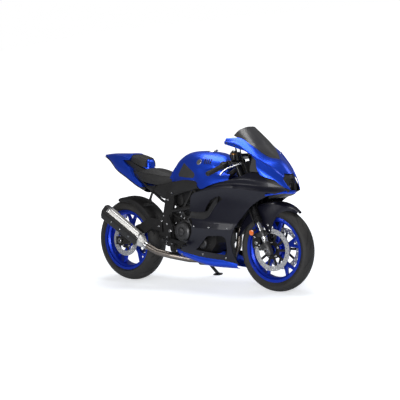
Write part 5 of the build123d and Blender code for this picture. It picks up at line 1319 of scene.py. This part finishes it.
class BuildCockpit(bpy.types.Operator):
    """Controls and levers, dash tray, inner panels, meter, reservoir cap, grip ribs and bar ends"""
    bl_idname = "motorcycle.cockpit"
    bl_label = "Cockpit"

    def execute(self, context):
        clusters, levers = Parts(), Parts()
        for side in (-1, 1):
            start, ahead, across, out = bar_axes(side)

            def at(a, b, c):
                return start + ahead * a + across * side * b + out * c

            clusters.tube([at(0, 0, 62), at(0, 0, 84), at(0, 0, 106)], 22, 18, 4)
            clusters.tube([at(-6, -14, 72), at(-6, -14, 98)], 16, 14, 4)
            clusters.tube([at(0, 0, 34), at(0, 0, 54)], 20, 18, 4)
            clusters.tube([at(10, 0, 46), at(24, 0, 48), at(36, 0, 56)], 11, 14, 4)
            lever = np.array([(1217, 166, 911), (1210, 178, 908), (1192, 200, 899), (1170, 224, 888),
                              (1152, 248, 877), (1144, 270, 865), (1143, 292, 852), (1144, 316, 838)], float)
            lever[:, 1] *= side
            path = smooth_run(lever, 5)
            levers.tube(path, [7.0 - 2.4 * math.sin(math.pi * min(1, k / (len(path) - 1) * 1.1))
                               for k in range(len(path))], 12)
            levers.lathe(lever[-1], lever[-1] - lever[-2], [(5.5, -4), (7.5, 0), (6.5, 5), (0.3, 7.5)], 14)
            clusters.tube([at(36, 0, 52), (1200, side * 170, 913), (1217, side * 166, 911)], 8, 12, 6)
            clusters.lathe((1215, side * 168, 905), (0, 0, 1),
                           [(0.3, -4), (10, -4), (11, 0), (11, 12), (8, 14), (0.3, 14)], 18)
        start, ahead, across, out = bar_axes(-1)
        clusters.tube([start + ahead * 36 + out * 6, start + ahead * 36 + out * 52], 11.5, 16, 4)
        base = start + ahead * 35 + out * 16
        clusters.lathe(base, (0, 0, 1), [(0.3, 10), (14, 10), (16, 16), (16.5, 46), (0.3, 46)], 24)
        for swing, rise in ((10, 62), (18, 44)):
            clusters.tube([base + (6, 18, 40), base + (10, 12, 40 + rise * 0.7),
                           base + (10 + swing * 0.5, 2, 44 + rise), base + (16 + swing, -4, 30 + rise * 0.6),
                           base + (24 + swing, -2, 6)], 4.2, 10, 8)
        clusters.piece("control_clusters", "black_metal", slot="lever_aluminium", angle=35,
                       replaces=("hand_controls",), body="steering")
        levers.piece("levers", "lever_aluminium", angle=35, replaces=("hand_controls",), body="steering")
        tray = Parts()
        rows = ((1262, 62, 894, 912), (1284, 88, 888, 928), (1310, 104, 880, 938), (1360, 112, 872, 930),
                (1400, 110, 850, 912), (1440, 92, 840, 880))
        tray.loft([[(x, -h, lo), (x, -h, hi - 12), (x, -h * 0.5, hi), (x, h * 0.5, hi), (x, h, hi - 12),
                    (x, h, lo)] for x, h, lo, hi in rows])
        tray.loft([[(x, -h, lo), (x, -h, hi), (x, h, hi), (x, h, lo)]
                   for x, h, lo, hi in ((1146, 34, 800, 915), (1166, 40, 796, 925), (1196, 34, 808, 905))])
        tray.piece("dash_tray", "black_plastic", angle=30)
        inner = Parts().prism([(1286, 856), (1290, 884), (1306, 936), (1330, 960), (1368, 905), (1376, 846),
                               (1330, 850), (1304, 852)], -168, -165)
        inner.mirrored().piece("inner_panels", "grey_panel", slot="black_plastic")
        face_at, along, up = np.array((1250.5, 0, 956.5)), np.array((0, 1, 0)), np.array((0.6, 0, 0.8))
        meter = Parts()
        loop = [(-74, -34), (74, -34), (80, -20), (78, 30), (60, 40), (-60, 40), (-78, 30), (-80, -20)]
        back = np.array((-0.8, 0, 0.6))
        meter.loft([[face_at + along * a * k + up * b * k + back * d for a, b in loop]
                    for k, d in ((0.96, -16), (1.0, -12), (1.0, 4), (0.96, 7))])
        meter.piece("meter_case", "black_plastic", angle=30)
        glass = Parts().loft([[face_at + along * a * 0.86 + up * b * 0.8 + back * d for a, b in loop]
                              for d in (6.5, 8.0)])
        glass.piece("meter_glass", "dark_lens", slot="lamp_glass")
        cap = Parts().lathe(base + (0, 0, 50.5), (0, 0, 1),
                            [(16, -3), (18, -2), (18, 5), (15, 8), (0.3, 8.5)], 24)
        cap.piece("reservoir_cap", "brown_cap", slot="bright_steel", angle=35, body="steering")
        black, ribs = Parts(), Parts()
        for side in (-1, 1):
            start, ahead, across, out = bar_axes(side)
            for k in range(11):
                ribs.lathe(start + out * (118 + k * 9), out,
                           [(16.6, -2.2), (17.9, -1.4), (17.9, 1.4), (16.6, 2.2)], 20)
            black.lathe(start + out * 247.5, out, [(14, -1), (15, 1), (11, 4), (0.3, 4.5)], 20)
            for lift, shift in ((12, -6), (14, 6), (6, 12)):
                at = start + out * (85 + shift) - ahead * 20 + across * side * (lift - 10)
                black.lathe(at, -ahead, [(4.5, -2), (4.5, 3), (3, 4.5), (0.3, 4.5)], 14)
        ribs.piece("grip_ribs", "grip_rubber", body="steering")
        black.piece("bar_fittings", "black_metal", angle=35, body="steering")
        return {"FINISHED"}


RIDER_PEG, PILLION_PEG = (534, 352), (304, 600)      # x and z


class BuildStandAndPegs(bpy.types.Operator):
    """Ribs and ends of the pegs, and the heel plates with their pins"""
    bl_idname = "motorcycle.pegs"
    bl_label = "Pegs"

    def execute(self, context):
        pegs = Parts()
        for side in (-1, 1):
            (x, z), (rear_x, rear_z) = RIDER_PEG, PILLION_PEG
            for k in range(9):
                pegs.lathe((x, side * (176 + k * 9.5), z), (0, 1, 0),
                           [(12.6, -2.4), (13.4, -1.6), (13.4, 1.6), (12.6, 2.4)], 16)
            pegs.lathe((x, side * 260, z), (0, side, 0), [(11.2, -3), (12, 0), (9, 3), (0.3, 4)], 16)
            for k in range(5):
                pegs.lathe((rear_x, side * (128 + k * 13), rear_z), (0, 1, 0),
                           [(9.6, -4), (11, -2.5), (11, 2.5), (9.6, 4)], 14)
            pegs.prism([(505, 395), (536, 402), (548, 350), (556, 318), (508, 330), (516, 360)],
                       *sorted((side * 168, side * 171)))
            pegs.tube([(536, side * 154, 398), (530, side * 168, 400)], 6, 10)
        pegs.piece("peg_grips", "black_metal", angle=35)
        return {"FINISHED"}


CHAIN_PITCH = 15.875
BIG_PITCH_R, SMALL_PITCH_R = 106.2, 40.7      # pitch radii of the two sprockets
FRONT_SPROCKET = (598.0, 415.0)
CHAIN_Y = 105.0
FEWEST_FACES = 1000                           # a chain with fewer has not been built


def chain_path():
    """Pitch line round both sprockets, in upright metres, as a closed mesh edge loop."""
    run, rise = FRONT_SPROCKET[0] - REAR_AXLE[0], FRONT_SPROCKET[1] - REAR_AXLE[1]
    base = math.atan2(rise, run)
    spread = math.acos((BIG_PITCH_R - SMALL_PITCH_R) / math.hypot(run, rise))
    points = []
    for centre, radius, first, sweep, steps in (
            (REAR_AXLE, BIG_PITCH_R, base + spread, 2 * math.pi - 2 * spread, 60),
            (FRONT_SPROCKET, SMALL_PITCH_R, base - spread, 2 * spread, 30)):
        for k in range(steps + 1):
            a = first + sweep * k / steps
            points.append((centre[0] + radius * math.cos(a), centre[1] + radius * math.sin(a)))
    me = bpy.data.meshes.new("chain_path")
    n = len(points)
    me.from_pydata([(x / 1000, CHAIN_Y / 1000, z / 1000) for x, z in points],
                   [(i, (i + 1) % n) for i in range(n)], [])
    length = sum(math.dist(points[i], points[(i + 1) % n]) for i in range(n))
    return me, 2 * round(length / CHAIN_PITCH / 2)


def link_mesh(name, inner):
    """One link lying along x from its pin: two plates and, for an inner link, the roller."""
    kit = Parts()
    low, high = (4.3, 6.0) if inner else (6.2, 8.0)
    outline = []
    for x, start, waist in ((0, math.pi / 2, [(4, -5.2), (11.9, -5.2)]),
                            (CHAIN_PITCH, -math.pi / 2, [(11.9, 5.2), (4, 5.2)])):
        for k in range(14):
            a = start + math.pi * k / 13
            outline.append((x + 7 * math.cos(a), 7 * math.sin(a)))
        outline += waist
    for side in (-1, 1):
        kit.prism(outline, *sorted((side * low, side * high)))
    for x in (0, CHAIN_PITCH):
        kit.lathe((x, 0, 0), (0, 1, 0), [(5.0, -4.2), (5.0, 4.2)] if inner else [(2.6, -9.2), (2.6, 9.2)], 12)
    me = bpy.data.meshes.new(name)
    me.from_pydata([tuple(p / 1000) for p in np.concatenate(kit.points)], [], kit.faces)
    return me


def chain_tree():
    """Geometry nodes: links set along a loop, inner and outer ones in turn."""
    tree = bpy.data.node_groups.new("chain_links", "GeometryNodeTree")
    for label, kind in (("Path", "NodeSocketGeometry"), ("Links", "NodeSocketInt"),
                        ("Inner Link", "NodeSocketObject"), ("Outer Link", "NodeSocketObject"),
                        ("Finish", "NodeSocketMaterial")):
        tree.interface.new_socket(name=label, in_out="INPUT", socket_type=kind)
    tree.interface.new_socket(name="Chain", in_out="OUTPUT", socket_type="NodeSocketGeometry")
    link, new = tree.links.new, tree.nodes.new
    gin, gout = new("NodeGroupInput"), new("NodeGroupOutput")
    curve, even = new("GeometryNodeMeshToCurve"), new("GeometryNodeResampleCurve")
    link(gin.outputs["Path"], curve.inputs["Mesh"])
    link(curve.outputs[0], even.inputs["Curve"])
    link(gin.outputs["Links"], even.inputs["Count"])
    tangent, turn = new("GeometryNodeInputTangent"), new("FunctionNodeAlignRotationToVector")
    turn.axis, turn.pivot_axis = "X", "Y"
    link(tangent.outputs[0], turn.inputs["Vector"])
    index, odd = new("GeometryNodeInputIndex"), new("ShaderNodeMath")
    odd.operation = "MODULO"
    odd.inputs[1].default_value = 2.0
    link(index.outputs[0], odd.inputs[0])
    other = new("ShaderNodeMath")
    other.operation = "SUBTRACT"
    other.inputs[0].default_value = 1.0
    link(odd.outputs[0], other.inputs[1])
    join = new("GeometryNodeJoinGeometry")
    for label, chosen in (("Inner Link", odd), ("Outer Link", other)):
        info, put = new("GeometryNodeObjectInfo"), new("GeometryNodeInstanceOnPoints")
        link(gin.outputs[label], info.inputs["Object"])
        link(even.outputs[0], put.inputs["Points"])
        link(chosen.outputs[0], put.inputs["Selection"])
        link(info.outputs["Geometry"], put.inputs["Instance"])
        link(turn.outputs[0], put.inputs["Rotation"])
        link(put.outputs[0], join.inputs[0])
    real, paint = new("GeometryNodeRealizeInstances"), new("GeometryNodeSetMaterial")
    link(join.outputs[0], real.inputs[0])
    link(real.outputs[0], paint.inputs["Geometry"])
    link(gin.outputs["Finish"], paint.inputs["Material"])
    link(paint.outputs[0], gout.inputs[0])
    return tree


class BuildChain(bpy.types.Operator):
    """Roller chain of separate links along its run"""
    bl_idname = "motorcycle.chain"
    bl_label = "Chain"

    def execute(self, context):
        path, count = chain_path()
        obj = linked("chain_links", path)
        links = [linked(name, link_mesh(name, inner)) for name, inner in
                 (("inner_link", True), ("outer_link", False))]
        tree = chain_tree()
        run = obj.modifiers.new("links", "NODES")
        run.node_group = tree
        sockets = {i.name: i.identifier for i in tree.interface.items_tree if i.in_out == "INPUT"}
        for label, value in (("Links", count), ("Inner Link", links[0]), ("Outer Link", links[1]),
                             ("Finish", FINISH["chain_steel"])):
            run[sockets[label]] = value
        me = settled(obj)
        for o in links:
            bpy.data.objects.remove(o)
        if len(me.polygons) < FEWEST_FACES:
            raise RuntimeError("no chain links")
        flat = np.empty(len(me.vertices) * 3)
        me.vertices.foreach_get("co", flat)
        me.vertices.foreach_set("co", place(flat.reshape(-1, 3) * 1000).ravel())
        me.name = "chain_links"
        piece("chain_links", me, "chain_steel", angle=35, replaces=("chain",))
        return {"FINISHED"}


FLOOR_HALF = 30.0                             # half the floor's side, in metres
# angles in degrees, pan and tilt in radians; distance and target in millimetres, on the upright drawing
CAMERA = {"azimuth": 39.794, "elevation": 3.915, "roll": -1.094, "distance": 8660.5,
          "target": (697.5, 0, 500), "lens": 104.88, "pan": 0.000978, "tilt": 0.015479}


class BuildStage(bpy.types.Operator):
    """Floor, light, sky and the camera"""
    bl_idname = "motorcycle.stage"
    bl_label = "Stage"

    def execute(self, context):
        scene = context.scene
        scene.view_settings.view_transform = "Standard"
        me = bpy.data.meshes.new("floor")
        corners = [(x * FLOOR_HALF, y * FLOOR_HALF, 0) for x, y in ((-1, -1), (1, -1), (1, 1), (-1, 1))]
        me.from_pydata(corners, [], [(0, 1, 2, 3)])
        floor = linked("floor", me)
        mat = bpy.data.materials.new("floor_paper")
        mat.use_nodes = True
        tree = mat.node_tree
        shader = tree.nodes["Principled BSDF"]
        shader.inputs["Base Color"].default_value = (0.80, 0.84, 0.90, 1)
        shader.inputs["Roughness"].default_value = 0.7
        shader.inputs["Specular IOR Level"].default_value = 0.0
        shader.inputs["Emission Color"].default_value = (1.0, 1.0, 1.0, 1)
        seen = tree.nodes.new("ShaderNodeLightPath")
        shown = maths(tree, "ADD", maths(tree, "MULTIPLY", seen.outputs["Is Camera Ray"], 0.46), 0.06)
        coord = tree.nodes.new("ShaderNodeTexCoord")
        reach = node(tree, "ShaderNodeVectorMath", operation="LENGTH")
        tree.links.new(coord.outputs["Object"], reach.inputs["Vector"])
        fade = smooth_step(tree, reach.outputs["Value"], 1.1, 3.4, 0.0, 0.5)
        far = maths(tree, "MULTIPLY", seen.outputs["Is Camera Ray"], fade)
        tree.links.new(maths(tree, "ADD", shown, far), shader.inputs["Emission Strength"])
        me.materials.append(mat)
        world = bpy.data.worlds.new("sky")
        world.use_nodes = True
        tree = world.node_tree
        back = tree.nodes["Background"]
        back.inputs["Color"].default_value = (1, 1, 1, 1)
        seen = tree.nodes.new("ShaderNodeLightPath")
        shown = maths(tree, "ADD", maths(tree, "MULTIPLY", seen.outputs["Is Camera Ray"], 0.85), 0.15)
        tree.links.new(shown, back.inputs["Strength"])
        scene.world = world
        for name, at, size, power, aim in (
                ("overhead", (0.1, 0.6, 3.8), (3.8, 1.3), 95.0, (0.0, 0.0, 0.6)),
                ("key", (4.6, -4.4, 3.0), (2.0, 1.4), 70.0, (0.3, 0.0, 0.7)),
                ("cheek", (2.5, -5.0, 1.5), (1.5, 2.0), 120.0, (0.7, 0.0, 0.8)),
                ("right_side", (-1.6, -4.4, 2.6), (3.0, 0.6), 40.0, (-0.2, 0.0, 0.6)),
                ("left", (2.6, 4.4, 3.2), (2.6, 1.0), 30.0, (0.0, 0.0, 0.6))):
            data = bpy.data.lights.new(name, "AREA")
            data.shape = "RECTANGLE"
            data.size, data.size_y = size
            data.energy = power
            lamp = linked(name, data)
            lamp.location = at
            lamp.rotation_euler = (Vector(aim) - Vector(at)).to_track_quat("-Z", "Y").to_euler()
        self.camera(scene)
        return {"FINISHED"}

    def camera(self, scene):
        az, el, roll = (math.radians(CAMERA[k]) for k in ("azimuth", "elevation", "roll"))
        back = Vector((math.sin(az) * math.cos(el), -math.cos(az) * math.cos(el), math.sin(el)))
        right = Vector((math.cos(az), math.sin(az), 0))
        up = back.cross(right)
        side = right * math.cos(roll) + up * math.sin(roll)
        top = up * math.cos(roll) - right * math.sin(roll)
        turn = Matrix.Rotation(CAMERA["pan"], 3, top) @ Matrix.Rotation(CAMERA["tilt"], 3, side)
        axes = Matrix((turn @ side, turn @ top, turn @ back)).transposed()
        eye = Vector(CAMERA["target"]) / 1000 + back * (CAMERA["distance"] / 1000)
        data = bpy.data.cameras.new("camera")
        data.lens = CAMERA["lens"]
        data.clip_end = 100
        cam = linked("camera", data)
        cam.matrix_world = Matrix.Translation(UP @ eye + SHIFT) @ (UP @ axes).to_4x4()
        scene.camera = cam


class MotorcyclePanel(bpy.types.Panel):
    """Sidebar panel with one button for each group of pieces"""
    bl_idname = "VIEW3D_PT_motorcycle"
    bl_label = "Motorcycle"
    bl_space_type = "VIEW_3D"
    bl_region_type = "UI"
    bl_category = "Motorcycle"

    def draw(self, context):
        settings = context.scene.motorcycle
        self.layout.prop(settings, "panel")
        for operator in OPERATORS:
            self.layout.operator(operator.bl_idname)


OPERATORS = (FinishFrame, BuildNose, BuildNoseInside, BuildFairings, BuildTank, BuildTail, BuildSeats,
             BuildGuards, BuildEngineFittings, BuildExhaust, BuildWheelFittings, BuildForkFittings,
             BuildCockpit, BuildStandAndPegs, BuildChain, BuildStage)
CLASSES = (PieceSettings, *OPERATORS, MotorcyclePanel)


def register():
    for cls in CLASSES:
        bpy.utils.register_class(cls)
    bpy.types.Scene.motorcycle = bpy.props.PointerProperty(type=PieceSettings)


def unregister():
    del bpy.types.Scene.motorcycle
    for cls in reversed(CLASSES):
        bpy.utils.unregister_class(cls)


def main():
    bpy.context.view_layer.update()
    register()
    make_finishes()
    for operator in OPERATORS:
        call = getattr(bpy.ops.motorcycle, operator.bl_idname.split(".")[1])
        if call() != {"FINISHED"}:
            raise RuntimeError(operator.bl_label)


if __name__ == "__main__":
    main()
